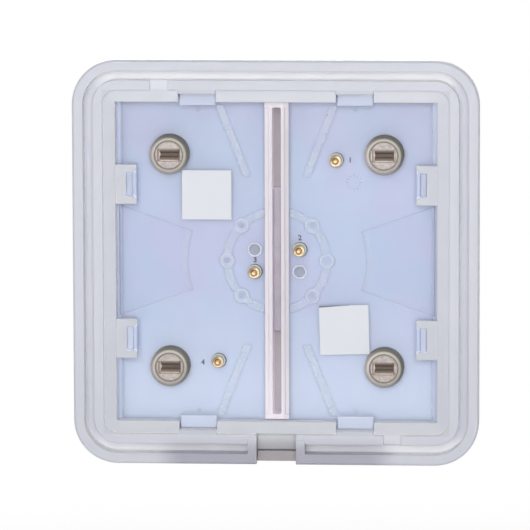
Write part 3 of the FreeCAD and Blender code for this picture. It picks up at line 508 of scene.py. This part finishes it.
def clear_finish(tones):
    """Clear moulded plastic: hazy body, glossy skin, painted highlights on edges and marks, painted light on
    walls, border, tabs and hooks, and painted shade in corners and at holes.
    """
    finish = Finish("clear")
    x, y, z = finish.axes()
    folded = finish.add("ShaderNodeCombineXYZ")
    finish.join(finish.math("ABSOLUTE", x), folded.inputs["X"])
    finish.join(finish.math("ABSOLUTE", z), folded.inputs["Z"])
    quarter = folded.outputs["Vector"]
    rings = [finish.line(finish.away(quarter, mark), ROUND_MARK, 0.00030) for mark in ROUND_MARKS]
    dial = finish.line(finish.away(finish.place, DIAL), DIAL_RADIUS, 0.00022)
    ring = finish.most([dial, *rings])
    gate = finish.span(finish.away(quarter, GATE), 0.0008, 0.0004)
    from_boss = [finish.away(quarter, boss) for boss in BOSSES]
    spot = finish.most([finish.span(distance, 0.0009, 0.0004) for distance in from_boss])
    boss = finish.most([finish.line(distance, BOSS_RING, 0.00045) for distance in from_boss])
    flat = finish.flattened()
    holes = [Vector((pin.x, 0.0, pin.z)) for pin in PINS]
    # Painted shade: a dark crescent at the edge of each pin's hole, where its wall is seen through the
    # plate.
    dark = finish.most([
        finish.span(finish.away(flat, hole + HOLE_SHIFT), HOLE_EDGE + FADE, HOLE_EDGE - FADE)
        for hole in holes
    ])
    near_pin = finish.most([
        finish.span(finish.away(flat, hole), PIN_HOLE, PIN_HOLE - 0.00003) for hole in holes
    ])
    halo = finish.most([
        finish.span(finish.away(flat, (across, 0.0, up)), PLAIN_HOLE + 0.00025, PLAIN_HOLE)
        for across, up in PLAIN_HOLES
    ])
    cloud = finish.span(finish.noise(45.0, 2.0), 0.35, 0.65)
    patchy = finish.span(finish.noise(260.0, 2.0), 0.40, 0.62, 0.70, 1.0)
    body = finish.mix(cloud, tones.clear, lighter(tones.clear, 1.06))
    upright = finish.upright()
    shown = finish.span(y, PLATE_REAR - 0.0013, PLATE_REAR - 0.0009)
    rim = finish.math("SUBTRACT", finish.edges(0.00035), upright, clamp=True)
    raised = finish.times(finish.span(y, PLATE_REAR + 0.0001, PLATE_REAR + 0.0002), patchy)
    field = finish.line(finish.away(flat, (0.0, 0.0, 0.0)), FIELD_RADIUS, 0.0012)
    border = finish.times(field, finish.span(y, PLATE_REAR - 0.0001, PLATE_REAR - 0.0002))
    pale = finish.times(upright, finish.span(y, PLATE_REAR - 0.0004, PLATE_REAR - 0.0003))
    # Painted highlight: mould rings, edges, raised ribs and ring, the field's border, boss rings and the
    # halos round the plain holes are made whitish.
    marked = finish.mix(finish.most([ring, rim, raised, border, boss, halo]), body, tones.clear_edge)
    gated = finish.mix(gate, marked, tones.clear_gate)
    across = finish.math("ABSOLUTE", x)
    # Painted light: the plate's border is made nearly opaque against the frame's shade on the board.
    side = finish.span(across, PLATE_SIDE, PLATE_SIDE + 0.0009)
    rise = finish.span(y, PLATE_REAR + 0.0004, PLATE_REAR + 0.0008)
    # Painted light: raised tabs and hooks are made opaque and light, lighter still towards the bottom.
    risen = finish.mix(finish.span(z, 0.0, LOWER_END), tones.clear_rise, lighter(tones.clear_rise, 1.25))
    sided = finish.mix(rise, finish.mix(side, gated, tones.clear_side), risen)
    low_lying = finish.span(y, PLATE_REAR + 0.0003, PLATE_REAR)
    foot = finish.times(finish.span(finish.hollow(0.0016), 0.02, 0.22), low_lying)
    # Painted shade: spots on the bosses stand in for their hollows, and shade lies along the foot of ribs
    # and ring.
    shaded = finish.mix(finish.most([spot, foot]), sided, tones.clear_foot)
    # Painted light: the walls of the pins' holes and of the plate's relief are made nearly white.
    wall = finish.times(upright, near_pin)
    rimmed = finish.mix(dark, shaded, tones.clear_dark)
    finish.base(finish.mix(finish.math("MAXIMUM", pale, wall), rimmed, PAINTED_WALL_LIGHT))
    cover = (
        (rim, 0.22), (raised, 0.36), (ring, 0.14), (spot, 0.18), (boss, 0.46), (border, 0.22), (gate, 0.30),
        (foot, 0.26), (halo, 0.75), (dark, 0.70), (side, 0.85), (rise, 0.80), (pale, 0.14), (wall, 1.0),
    )
    solid = finish.most([finish.math("MULTIPLY", mark, part) for mark, part in cover])
    haze = finish.times(finish.math("MAXIMUM", solid, tones.clear_body), shown)
    # Painted light: the hooks' walls glow.
    hook = finish.times(finish.span(across, HOOK_SIDE, HOOK_SIDE + 0.0005), upright, rise)
    finish.glow(hook, tones.clear_rise, 0.40)
    finish.join(haze, finish.shader.inputs["Alpha"])
    finish.shader.inputs["IOR"].default_value = 1.49
    finish.rough(0.10, 0.20, 300.0)
    dents = finish.math("MULTIPLY", finish.math("ADD", ring, spot), -0.4)
    swell = finish.math("ADD", dents, finish.math("MULTIPLY", finish.noise(250.0, 2.0), 0.5))
    finish.relief(swell, 0.00006, finish.soft_normal(0.0004))
    return finish


class TOUCHPANEL_OT_clear_plate(bpy.types.Operator):
    """Clear plate with its moulding marks and the ticks of the dial ring"""

    bl_idname = "touch_panel.clear_plate"
    bl_label = "Clear plate"

    def execute(self, context):
        finish = clear_finish(context.scene.panel_finish)
        coat_node("clear_carrier", finish)
        add_ticks(context.scene.panel_detail, finish)
        return {"FINISHED"}


def add_ticks(detail, finish):
    """Fine raised ticks inside the moulded dial ring."""
    half_wide = detail.tick_wide / 2
    outer = DIAL_RADIUS * TICK_REACH
    inner = outer - detail.tick_long
    corners, faces = [], []
    for step in range(detail.tick_count):
        turn = Matrix.Rotation(2 * math.pi * step / detail.tick_count, 3, "Y")
        first = len(corners)
        for rise in (TICK_FOOT, TICK_TOP):
            for side, reach in ((-1, inner), (1, inner), (1, outer), (-1, outer)):
                corners.append(DIAL + turn @ Vector((side * half_wide, rise, reach)))
        faces += [[first + index for index in (0, 1, 2, 3)], [first + index for index in (7, 6, 5, 4)]]
        for side in range(4):
            after = (side + 1) % 4
            faces.append([first + side, first + 4 + side, first + 4 + after, first + after])
    mesh = bpy.data.meshes.new("dial_ticks")
    mesh.from_pydata(corners, [], faces)
    ticks = show("dial_ticks", mesh, finish.material)
    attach(ticks, "panel")


CHIP_TONES = ((0.012, 0.012, 0.014), (0.035, 0.035, 0.038))
LAMP_TONES = ((0.80, 0.72, 0.36), (0.88, 0.84, 0.58))


class TOUCHPANEL_OT_board(bpy.types.Operator):
    """White board, the parts on its front side and the numbers printed on it"""

    bl_idname = "touch_panel.board"
    bl_label = "Board"

    def execute(self, context):
        tones = context.scene.panel_finish
        board = Finish("board_white")
        patch = board.span(board.noise(70.0, 2.0), 0.35, 0.65)
        patched = board.mix(patch, tones.board, tones.board_warm)
        z = board.axes()["Z"]
        # Darker towards the top; painted light makes it lighter towards the lower edge.
        upper = board.mix(board.span(z, 0.012, 0.031, 0.0, 0.09), patched, BLACK)
        lit_low = board.mix(board.span(z, -0.004, -0.031), upper, tones.board_low)
        flat = board.flattened()
        # Round each pin's hole the board is lighter: partly the white board seen without the plate's tint,
        # partly painted light in the deep gap.
        land = board.most([
            board.span(board.away(flat, (pin.x, 0.0, pin.z)), PIN_HOLE + 0.00015, PIN_HOLE) for pin in PINS
        ])
        # Painted highlight: the board is lighter along its edges.
        edged = board.mix(board.edges(0.0002), lit_low, lighter(tones.board, 1.10))
        board.base(board.mix(land, edged, tones.land))
        board.skin((0.30, 0.42, 250.0), (3000.0, 3.0), 0.000005)
        coat_node("touch_board", board)
        chip = Finish("chip_black")
        grain = chip.noise(12000.0, 3.0)
        chip.base(chip.mix(grain, *CHIP_TONES))
        chip.rough(0.45, 0.60, 900.0)
        chip.relief(grain, 0.00001, chip.soft_normal(0.0001))
        coat_node("touch_controller", chip)
        lamp = speckled("lamp", (900.0, 2.0), (0.4, 0.6), *LAMP_TONES)
        lamp.skin((0.15, 0.30, 900.0), (4000.0, 2.0), 0.000006, 0.0001)
        for name in ("guide_lamp_upper", "guide_lamp_lower"):
            coat_node(name, lamp)
        print_numbers(tones, context.scene.panel_detail)
        add_pads(tones)
        return {"FINISHED"}


SHADE_DISC_RADIUS = 0.00108
SHADE_DISC_TALL = 0.00003
ROUND_SIDES = 40
ROUND_TURNS = [2 * math.pi * step / ROUND_SIDES for step in range(ROUND_SIDES)]


def disc_mesh(name):
    """A thin round disc that faces the rear."""
    corners = [
        (SHADE_DISC_RADIUS * math.cos(turn), height, SHADE_DISC_RADIUS * math.sin(turn))
        for height in (0.0, SHADE_DISC_TALL) for turn in ROUND_TURNS
    ]
    faces = [tuple(range(ROUND_SIDES)), tuple(range(2 * ROUND_SIDES - 1, ROUND_SIDES - 1, -1))]
    for step in range(ROUND_SIDES):
        after = (step + 1) % ROUND_SIDES
        faces.append((step, ROUND_SIDES + step, ROUND_SIDES + after, after))
    mesh = bpy.data.meshes.new(name)
    mesh.from_pydata(corners, [], faces)
    return mesh


def add_pads(tones):
    """Painted shade: grey discs on the board under the two plain holes, where the holes lie in shade."""
    shade_grey = speckled("hole_shade_disc", (2500.0, 4.0), (0.35, 0.7), tones.pad, lighter(tones.pad, 1.08))
    shade_grey.skin((0.35, 0.5, 2500.0), (6000.0, 3.0), 0.000003)
    for number, (across, up) in enumerate(PLAIN_HOLES, start=1):
        name = "bare_pad_%d" % number
        mesh = disc_mesh(name)
        mesh.transform(Matrix.Translation((across, BOARD_REAR, up)))
        pad = show(name, mesh, shade_grey.material)
        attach(pad, "panel")


NUMBER_PLACES = ((-0.01472, 0.02030), (-0.00452, 0.00447), (0.00456, -0.00010), (0.01525, -0.02112))
FONT_SHARE = 1.4  # font size for a digit one unit tall


def print_numbers(tones, detail):
    """Small plain numbers beside the four contact pins."""
    ink = speckled("ink", (6000.0, 3.0), (0.45, 0.75), tones.ink, lighter(tones.ink, 2.2))
    ink.skin((0.5, 0.65, 900.0), (9000.0, 2.0), 0.000002)
    facing_rear = Matrix.Rotation(math.pi, 4, "Z") @ Matrix.Rotation(math.pi / 2, 4, "X")
    for number, (across, up) in zip(QUARTERS, NUMBER_PLACES):
        text = bpy.data.curves.new("number_%d" % number, "FONT")
        text.body = str(number)
        text.size = detail.digit_tall * FONT_SHARE
        text.extrude = detail.digit_thick / 2
        text.offset = detail.digit_bold
        text.align_x = text.align_y = "CENTER"
        outline = show("number_%d_outline" % number, text)
        bpy.context.view_layer.update()
        mesh = bpy.data.meshes.new_from_object(outline)
        bpy.data.objects.remove(outline)
        mesh.transform(Matrix.Translation((across, BOARD_REAR + detail.digit_thick, up)) @ facing_rear)
        mesh.materials.clear()
        printed = show("number_%d" % number, mesh, ink.material)
        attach(printed, "panel")


LIT_WALL = (0.00060, 0.00092)  # wall of the slot that glows, in metres
LIT_TONE = (0.66, 0.62, 0.68)


class TOUCHPANEL_OT_light_strip(bpy.types.Operator):
    """White strip with the long slot, and the light guide at its bottom"""

    bl_idname = "touch_panel.light_strip"
    bl_label = "Light strip"

    def execute(self, context):
        tones = context.scene.panel_finish
        strip = Finish("strip_white")
        axes = strip.axes()
        cloud = strip.span(strip.noise(120.0, 2.0), 0.35, 0.65)
        clouded = strip.mix(cloud, tones.strip, lighter(tones.strip, 1.03))
        # Painted light: the strip is lighter towards its lower end.
        body = strip.mix(strip.span(axes["Z"], -0.012, -0.032), clouded, lighter(tones.strip, 1.17))
        sided = strip.mix(strip.span(axes["X"], -SLOT_HALF, -SLOT_HALF - 0.0003, 0.0, 0.13), body, BLACK)
        # Painted highlight: lighter along the strip's edges.
        strip.base(strip.mix(strip.edges(0.0002), sided, lighter(tones.strip, 1.12)))
        # Painted light: one wall of the slot glows, against the slot's deep shade.
        lit_wall = strip.within(axes["X"], LIT_WALL)
        strip.glow(strip.times(lit_wall, strip.upright()), LIT_TONE, 0.22)
        strip.skin((0.35, 0.48, 400.0), (4500.0, 3.0), 0.000005, 0.0002)
        coat_node("light_strip_holder", strip)
        guide = speckled("guide", (260.0, 2.0), (0.35, 0.65), tones.guide, lighter(tones.guide, 1.06))
        # Painted light: the guide's faces that look up, at its end in the slot's shade, glow.
        end = guide.span(guide.facing()["Z"], 0.5, 0.9)
        guide.glow(end, lighter(tones.guide, 1.4), 0.40)
        guide.skin((0.12, 0.25, 500.0), (1500.0, 2.0), 0.000008, 0.0001)
        coat_node("light_guide", guide)
        return {"FINISHED"}


class TOUCHPANEL_OT_sockets(bpy.types.Operator):
    """Nickel sockets and the spring clips inside them"""

    bl_idname = "touch_panel.sockets"
    bl_label = "Sockets"

    def execute(self, context):
        tones = context.scene.panel_finish
        clip = metal("spring_clip", tones.spring, 0.50, 0.62)
        # Painted shade on the clip's middle, and painted light as a glow on its parts further out.
        height = clip.math("ABSOLUTE", clip.axes()["Z"])
        outer = clip.span(clip.math("ABSOLUTE", clip.math("SUBTRACT", height, SOCKET_UP)), 0.0002, 0.0012)
        clip.base(clip.mix(outer, lighter(tones.spring, 0.50), clip.tone()))
        clip.glow(outer, tones.spring, 0.35)
        for number in QUARTERS:
            name = "socket_shell_%d" % number
            low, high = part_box(name)
            turn_socket(name, low, high, nickel_finish(name, (low + high) / 2, tones))
            coat_node("socket_spring_%d" % number, clip)
        return {"FINISHED"}


# A socket's rings in metres: half sizes of mouth and room, radii, and depths below its top.
SOCKET_TURNS = 96
SOCKET_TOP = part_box("socket_shell_1")[1].y
SOCKET_UP = abs(sum(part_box("socket_shell_1"), Vector()).z) / 2
MOUTH_HALF = (0.00225, 0.001225)
ROOM_HALF = (0.00225, 0.00185)
MOUTH_BEVEL = 0.00008
ROOF = 0.0005
ROOM_FLOOR = 0.0004
SHOULDER = 0.0009
SHOULDER_TALL = 0.00065
CUT_RADIUS = 0.00284
CUT_HALF = 0.00018
CUT_DEEP = 0.0003
RING_START = 0.00300
RIM_START = 0.00330
ROOM_REACH = 0.00264


def on_rectangle(turn, half, grown=0.0):
    """Where a ray from the middle meets a rectangle, as a distance."""
    across, up = abs(math.cos(turn)), abs(math.sin(turn))
    return min((half[0] + grown) / max(across, 1e-9), (half[1] + grown) / max(up, 1e-9))


def socket_rings(radius, top, foot):
    """Distance and depth of each ring for one turn of the socket's outline."""
    inner, outer = CUT_RADIUS - CUT_HALF, CUT_RADIUS + CUT_HALF

    def rings(turn):
        room, mouth = on_rectangle(turn, ROOM_HALF), on_rectangle(turn, MOUTH_HALF)
        return (
            (room, foot + ROOM_FLOOR), (room, top - ROOF), (mouth, top - ROOF), (mouth, top - MOUTH_BEVEL),
            (on_rectangle(turn, MOUTH_HALF, MOUTH_BEVEL), top),
            (inner, top), (inner, top - CUT_DEEP), (outer, top - CUT_DEEP), (outer, top),
            (radius - SHOULDER, top), (radius - MOUTH_BEVEL, top - SHOULDER_TALL),
            (radius, top - SHOULDER_TALL - MOUTH_BEVEL), (radius, foot),
        )

    return rings


def turn_socket(name, low, high, finish):
    """A smooth socket shell in place of the plain one."""
    middle = (low + high) / 2
    rings = socket_rings((high.x - low.x) / 2, high.y, low.y)
    turns = [2 * math.pi * (step + 0.5) / SOCKET_TURNS for step in range(SOCKET_TURNS)]
    corners = [
        (middle.x + away * math.cos(turn), depth, middle.z + away * math.sin(turn))
        for turn in turns for away, depth in rings(turn)
    ]
    faces, count = [], len(rings(0.0))
    for step in range(SOCKET_TURNS):
        first, after = step * count, (step + 1) % SOCKET_TURNS * count
        for ring in range(count - 1):
            faces.append((first + ring, first + ring + 1, after + ring + 1, after + ring))
    faces.append([step * count for step in range(SOCKET_TURNS)])
    faces.append([step * count + count - 1 for step in range(SOCKET_TURNS)])
    mesh = bpy.data.meshes.new(name + "_turned")
    mesh.from_pydata(corners, [], faces)
    tidy = bmesh.new()
    tidy.from_mesh(mesh)
    bmesh.ops.remove_doubles(tidy, verts=tidy.verts, dist=1e-7)
    bmesh.ops.recalc_face_normals(tidy, faces=tidy.faces)
    tidy.to_mesh(mesh)
    tidy.free()
    mesh.shade_smooth()
    mesh.set_sharp_from_angle(angle=math.radians(30.0))
    socket = show(name + "_turned", mesh, finish.material)
    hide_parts(name)
    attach(socket, "panel")


def metal(name, tone, smooth, coarse):
    """Plated metal with fine scratches and stains."""
    finish = Finish(name)
    stain = finish.span(finish.noise(1800.0, 4.0), 0.35, 0.70)
    worn = finish.mix(stain, lighter(tone, 1.05), lighter(tone, 0.86))
    # Painted highlight: lighter along sharp edges.
    finish.base(finish.mix(finish.edges(0.00006), worn, lighter(tone, 1.2)))
    finish.shader.inputs["Metallic"].default_value = 1.0
    finish.skin((smooth, coarse, 2500.0), (9000.0, 3.0), 0.000002, 0.00006)
    return finish


def nickel_finish(name, middle, tones):
    """Satin nickel with painted shade in its cuts, on its outer slope and on one side of the shoulder, a
    painted highlight on the shoulder's other side, and painted light inside its mouth.
    """
    finish = metal(name + "_nickel", tones.nickel, 0.55, 0.68)
    across, up, radius = finish.round_place(middle)
    y = finish.axes()["Y"]
    # Painted light and shade: the shoulder is lighter on one side and shaded on the upper right.
    slope = finish.span(finish.math("ADD", up, finish.math("MULTIPLY", across, -0.8)), -0.004, 0.004)
    ring = finish.mix(slope, lighter(tones.nickel, 2.05), tones.nickel_ring)
    whole = finish.mix(finish.span(radius, RING_START, RING_START + 0.00012), finish.tone(), ring)
    # Painted shade: the round cut and the outer slope are darkened.
    in_cut = finish.span(y, SOCKET_TOP - 0.00005, SOCKET_TOP - 0.0002)
    cut = finish.times(finish.line(radius, CUT_RADIUS, CUT_HALF + 0.00008), in_cut)
    rim_share = finish.math("ADD", finish.times(slope, 0.6), 0.35)
    rim = finish.times(finish.span(radius, RIM_START, RIM_START + 0.00035), rim_share)
    # Painted light: the room behind the mouth is made lighter and glows.
    below = finish.span(y, SOCKET_TOP - 0.0002, SOCKET_TOP - 0.0004)
    room = finish.times(below, finish.span(radius, ROOM_REACH + 0.00008, ROOM_REACH))
    shaded = finish.mix(finish.most([cut, rim]), whole, tones.nickel_cut)
    finish.base(finish.mix(room, shaded, lighter(tones.nickel, 2.2)))
    finish.glow(room, tones.spring, 0.34)
    return finish


BARREL_SIDE = 0.00100


def gold_finish(name, middle, tones):
    """Gold plate, browner on the side away from the light."""
    finish = metal(name + "_gold", tones.gold, 0.38, 0.52)
    across, up, radius = finish.round_place(middle)
    far = finish.span(finish.math("ADD", up, finish.math("MULTIPLY", across, 0.9)), 0.0002, 0.0011)
    outside = finish.times(finish.upright(), finish.span(radius, BARREL_SIDE, BARREL_SIDE + 0.00006))
    finish.base(finish.mix(outside, finish.mix(far, finish.tone(), tones.gold_dim), tones.collar))
    return finish


COLLAR_INNER = 0.00113
COLLAR_OUTER = 0.00141
COLLAR_TOP = 0.00006


def add_collars(tones):
    """White insulating collars between the pins' barrels and the holes of the clear plate."""
    white = speckled("collar_white", (2500.0, 3.0), (0.35, 0.7), tones.collar, lighter(tones.collar, 0.94))
    white.skin((0.40, 0.55, 2500.0), (6000.0, 3.0), 0.000003)
    foot, top = BOARD_REAR, PLATE_REAR + COLLAR_TOP
    rings = ((COLLAR_INNER, foot), (COLLAR_INNER, top), (COLLAR_OUTER, top), (COLLAR_OUTER, foot))
    faces = []
    for step in range(ROUND_SIDES):
        first, after = step * 4, (step + 1) % ROUND_SIDES * 4
        for ring in range(4):
            follow = (ring + 1) % 4
            faces.append((first + ring, first + follow, after + follow, after + ring))
    for number, pin in zip(QUARTERS, PINS):
        corners = [
            (pin.x + radius * math.cos(turn), height, pin.z + radius * math.sin(turn))
            for turn in ROUND_TURNS for radius, height in rings
        ]
        mesh = bpy.data.meshes.new("pin_collar_%d" % number)
        mesh.from_pydata(corners, [], faces)
        collar = show("pin_collar_%d" % number, mesh, white.material)
        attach(collar, "panel")


def shorten_spring(number):
    """Give a coil its own copy of its mesh."""
    name = "contact_spring_%d" % number
    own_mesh(NODES[name])


class TOUCHPANEL_OT_contacts(bpy.types.Operator):
    """Gold contact pins and their coil springs"""

    bl_idname = "touch_panel.contacts"
    bl_label = "Contact pins"

    def execute(self, context):
        tones = context.scene.panel_finish
        coil = metal("spring_coil", tones.spring, 0.30, 0.45)
        for number, pin in zip(QUARTERS, PINS):
            gold = gold_finish("contact_%d" % number, pin, tones)
            coat_node("contact_barrel_%d" % number, gold)
            coat_node("contact_plunger_%d" % number, gold)
            coat_node("contact_spring_%d" % number, coil)
            shorten_spring(number)
        add_collars(tones)
        return {"FINISHED"}


class TOUCHPANEL_OT_labels(bpy.types.Operator):
    """Two blank white paper labels"""

    bl_idname = "touch_panel.labels"
    bl_label = "Labels"

    def execute(self, context):
        tones = context.scene.panel_finish
        duller, brighter = lighter(tones.paper, 0.985), lighter(tones.paper, 1.01)
        paper = speckled("paper", (7000.0, 5.0, 0.7), (0.35, 0.65), duller, brighter)
        paper.skin((0.5, 0.65, 700.0), (9000.0, 4.0), 0.000004)
        coat_node("label_upper", paper)
        # Painted shadow: a dark strip along the loose edge of the lower label.
        brighter = lighter(tones.paper_gap, 1.3)
        gap = speckled("paper_gap", (5000.0, 3.0), (0.35, 0.65), tones.paper_gap, brighter)
        gap.skin((0.6, 0.75, 700.0), (7000.0, 3.0), 0.000004)
        lay_label(context.scene.panel_detail, paper, gap)
        return {"FINISHED"}


LABEL_TURN = math.radians(1.5)
LABEL_STEPS = 20
GAP_START = 0.4
GAP_LEAST = 0.1
GAP_WIDE = 0.060
LOOSE_ACROSS, LOOSE_UP = 0.55, 0.90  # weights; the sheet is loose where their sum passes 1
LOOSE_RANGE = LOOSE_ACROSS + LOOSE_UP - 1.0


def lay_label(detail, paper, gap):
    """The lower label as a thin sheet whose upper corner has come loose."""
    low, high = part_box("label_lower")
    middle = (low + high) / 2
    side = (high.x - low.x) / (math.cos(LABEL_TURN) + math.sin(LABEL_TURN))
    turn = Matrix.Rotation(LABEL_TURN, 3, "Y")
    rows = LABEL_STEPS + 1
    corners = []
    for base in (low.y, high.y):
        for up_step in range(rows):
            for across_step in range(rows):
                across, up = across_step / LABEL_STEPS, up_step / LABEL_STEPS
                if up_step == LABEL_STEPS - 1:
                    up = 1.0 - GAP_WIDE * max(GAP_LEAST, across - GAP_START)
                loose = max(0.0, across * LOOSE_ACROSS + up * LOOSE_UP - 1.0) / LOOSE_RANGE
                lift = detail.label_lift * loose * loose
                flat = Vector(((across - 0.5) * side, 0.0, (up - 0.5) * side))
                corners.append(turn @ flat + Vector((middle.x, base + lift, middle.z)))
    faces = []
    for sheet in (0, rows * rows):
        for up_step in range(LABEL_STEPS):
            for across_step in range(LABEL_STEPS):
                first = sheet + up_step * rows + across_step
                square = (first, first + 1, first + rows + 1, first + rows)
                faces.append(square if sheet == 0 else square[::-1])
    edge = list(range(rows))
    edge += [step * rows + LABEL_STEPS for step in range(1, rows)]
    edge += [LABEL_STEPS * rows + step for step in range(LABEL_STEPS - 1, -1, -1)]
    edge += [step * rows for step in range(LABEL_STEPS - 1, 0, -1)]
    for first, second in zip(edge, edge[1:] + edge[:1]):
        faces.append((second, first, rows * rows + first, rows * rows + second))
    mesh = bpy.data.meshes.new("label_lower_sheet")
    mesh.from_pydata(corners, [], faces)
    label = show("label_lower_sheet", mesh, paper.material, gap.material)
    edge_row = rows * rows + (LABEL_STEPS - 1) * rows
    # Faces of the strip along the loose edge get the painted shadow.
    for face in mesh.polygons:
        if min(face.vertices) >= edge_row + GAP_START * LABEL_STEPS:
            face.material_index = 1
    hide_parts("label_lower")
    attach(label, "panel")


class TOUCHPANEL_OT_stage(bpy.types.Operator):
    """Pale floor, soft lamps and the camera behind the panel"""

    bl_idname = "touch_panel.stage"
    bl_label = "Stage"

    def execute(self, context):
        stage = context.scene.panel_stage
        add_floor(stage)
        add_sky(stage)
        add_lamp("key_lamp", (-0.06, 1.50, 0.21), 0.8, stage.key)
        add_lamp("fill_lamp", (0.10, 1.30, 0.75), 1.0, stage.fill)
        add_lamp("front_lamp", (0.40, -1.20, 0.80), 1.2, stage.front)
        add_camera(stage)
        context.scene.view_settings.view_transform = "Standard"
        return {"FINISHED"}


FLOOR_HALF = 12.0
FLOOR_TONES = ((0.86, 0.86, 0.87), (0.88, 0.88, 0.88))
SEEN_RAYS = ("Is Camera Ray", "Is Glossy Ray", "Is Transmission Ray")


def add_floor(stage):
    """Plain pale floor that fades into the white background away from the panel."""
    mesh = bpy.data.meshes.new("floor")
    corners = [
        (x * FLOOR_HALF, y * FLOOR_HALF, -stage.floor_drop) for x, y in ((-1, -1), (1, -1), (1, 1), (-1, 1))
    ]
    mesh.from_pydata(corners, [], [(0, 1, 2, 3)])
    finish = speckled("floor_pale", (3.0, 2.0), (0.3, 0.7), *FLOOR_TONES)
    finish.skin((0.75, 0.85, 4.0), (400.0, 2.0), 0.00002)
    x, y = finish.axes()[:2]
    squares = finish.math("ADD", finish.math("MULTIPLY", x, x), finish.math("MULTIPLY", y, y))
    far = finish.span(finish.math("SQRT", squares), 0.10, 0.42)
    path = finish.add("ShaderNodeLightPath")
    seen = finish.most([path.outputs[kind] for kind in SEEN_RAYS])
    white = finish.add("ShaderNodeEmission")
    blend = finish.add("ShaderNodeMixShader")
    finish.join(finish.math("MULTIPLY", far, seen), blend.inputs["Fac"])
    finish.join(finish.shader.outputs["BSDF"], blend.inputs[1])
    finish.join(white.outputs["Emission"], blend.inputs[2])
    finish.join(blend.outputs["Shader"], finish.nodes["Material Output"].inputs["Surface"])
    floor = show("floor", mesh, finish.material)


def add_sky(stage):
    """Even light from all round, and plain white where it is seen."""
    world = bpy.data.worlds.new("soft_sky")
    world.use_nodes = True
    bpy.context.scene.world = world
    tree = world.node_tree
    light = tree.nodes["Background"]
    light.inputs["Strength"].default_value = stage.sky
    shown = tree.nodes.new("ShaderNodeBackground")
    shown.inputs["Strength"].default_value = 1.0
    for node in (light, shown):
        node.inputs["Color"].default_value = WHITE
    path = tree.nodes.new("ShaderNodeLightPath")
    seen = path.outputs[SEEN_RAYS[0]]
    for kind in SEEN_RAYS[1:]:
        either = tree.nodes.new("ShaderNodeMath")
        either.operation = "MAXIMUM"
        tree.links.new(seen, either.inputs[0])
        tree.links.new(path.outputs[kind], either.inputs[1])
        seen = either.outputs["Value"]
    blend = tree.nodes.new("ShaderNodeMixShader")
    tree.links.new(seen, blend.inputs["Fac"])
    tree.links.new(light.outputs["Background"], blend.inputs[1])
    tree.links.new(shown.outputs["Background"], blend.inputs[2])
    tree.links.new(blend.outputs["Shader"], tree.nodes["World Output"].inputs["Surface"])


def add_lamp(name, place, side, power):
    """A large square lamp that shines at the panel."""
    data = bpy.data.lights.new(name, "AREA")
    data.size = side
    data.energy = power
    lamp = bpy.data.objects.new(name, data)
    lamp.location = place
    lamp.rotation_euler = (-Vector(place)).to_track_quat("-Z", "Y").to_euler()
    bpy.context.scene.collection.objects.link(lamp)


SENSOR_MM = 36.0
CLIP_RANGE = (0.01, 50.0)


def add_camera(stage):
    """A long lens behind and slightly above the panel."""
    flat = math.cos(stage.elevation)
    back = Vector((
        -math.sin(stage.azimuth) * flat, math.cos(stage.azimuth) * flat, math.sin(stage.elevation),
    ))
    right = (-back).cross(Vector((0.0, 0.0, 1.0))).normalized()
    up = right.cross(-back)
    turned_right = right * math.cos(stage.roll) + up * math.sin(stage.roll)
    turned_up = up * math.cos(stage.roll) - right * math.sin(stage.roll)
    data = bpy.data.cameras.new("camera")
    data.sensor_width = SENSOR_MM
    data.lens = stage.lens
    data.clip_start, data.clip_end = CLIP_RANGE
    camera = bpy.data.objects.new("camera", data)
    axes = Matrix((turned_right, turned_up, back)).transposed().to_4x4()
    place = Vector((stage.aim_x, 0.0, stage.aim_z)) + back * stage.distance
    camera.matrix_world = Matrix.Translation(place) @ axes
    bpy.context.scene.collection.objects.link(camera)
    bpy.context.scene.camera = camera


STEPS = (
    TOUCHPANEL_OT_front_panel,
    TOUCHPANEL_OT_diffuser_frame,
    TOUCHPANEL_OT_clear_plate,
    TOUCHPANEL_OT_board,
    TOUCHPANEL_OT_light_strip,
    TOUCHPANEL_OT_sockets,
    TOUCHPANEL_OT_contacts,
    TOUCHPANEL_OT_labels,
    TOUCHPANEL_OT_stage,
)


class TOUCHPANEL_PT_sidebar(bpy.types.Panel):
    """Lists the panel's pieces and their settings"""

    bl_idname = "TOUCHPANEL_PT_sidebar"
    bl_label = "Touch Panel"
    bl_space_type = "VIEW_3D"
    bl_region_type = "UI"
    bl_category = "Touch Panel"

    def draw(self, context):
        for step in STEPS:
            self.layout.operator(step.bl_idname)
        for group in (context.scene.panel_finish, context.scene.panel_detail, context.scene.panel_stage):
            box = self.layout.box()
            for name in group.bl_rna.properties.keys():
                if name not in ("rna_type", "name"):
                    box.prop(group, name)


GROUPS = {"panel_finish": PanelFinish, "panel_detail": PanelDetail, "panel_stage": PanelStage}


def register():
    for group in GROUPS.values():
        bpy.utils.register_class(group)
    for name, group in GROUPS.items():
        setattr(bpy.types.Scene, name, PointerProperty(type=group))
    for step in STEPS:
        bpy.utils.register_class(step)
    bpy.utils.register_class(TOUCHPANEL_PT_sidebar)


def unregister():
    bpy.utils.unregister_class(TOUCHPANEL_PT_sidebar)
    for step in reversed(STEPS):
        bpy.utils.unregister_class(step)
    for name, group in GROUPS.items():
        delattr(bpy.types.Scene, name)
        bpy.utils.unregister_class(group)


def main():
    """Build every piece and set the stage."""
    register()
    bpy.ops.touch_panel.front_panel()
    bpy.ops.touch_panel.diffuser_frame()
    bpy.ops.touch_panel.clear_plate()
    bpy.ops.touch_panel.board()
    bpy.ops.touch_panel.light_strip()
    bpy.ops.touch_panel.sockets()
    bpy.ops.touch_panel.contacts()
    bpy.ops.touch_panel.labels()
    bpy.ops.touch_panel.stage()


if __name__ == "__main__":
    main()
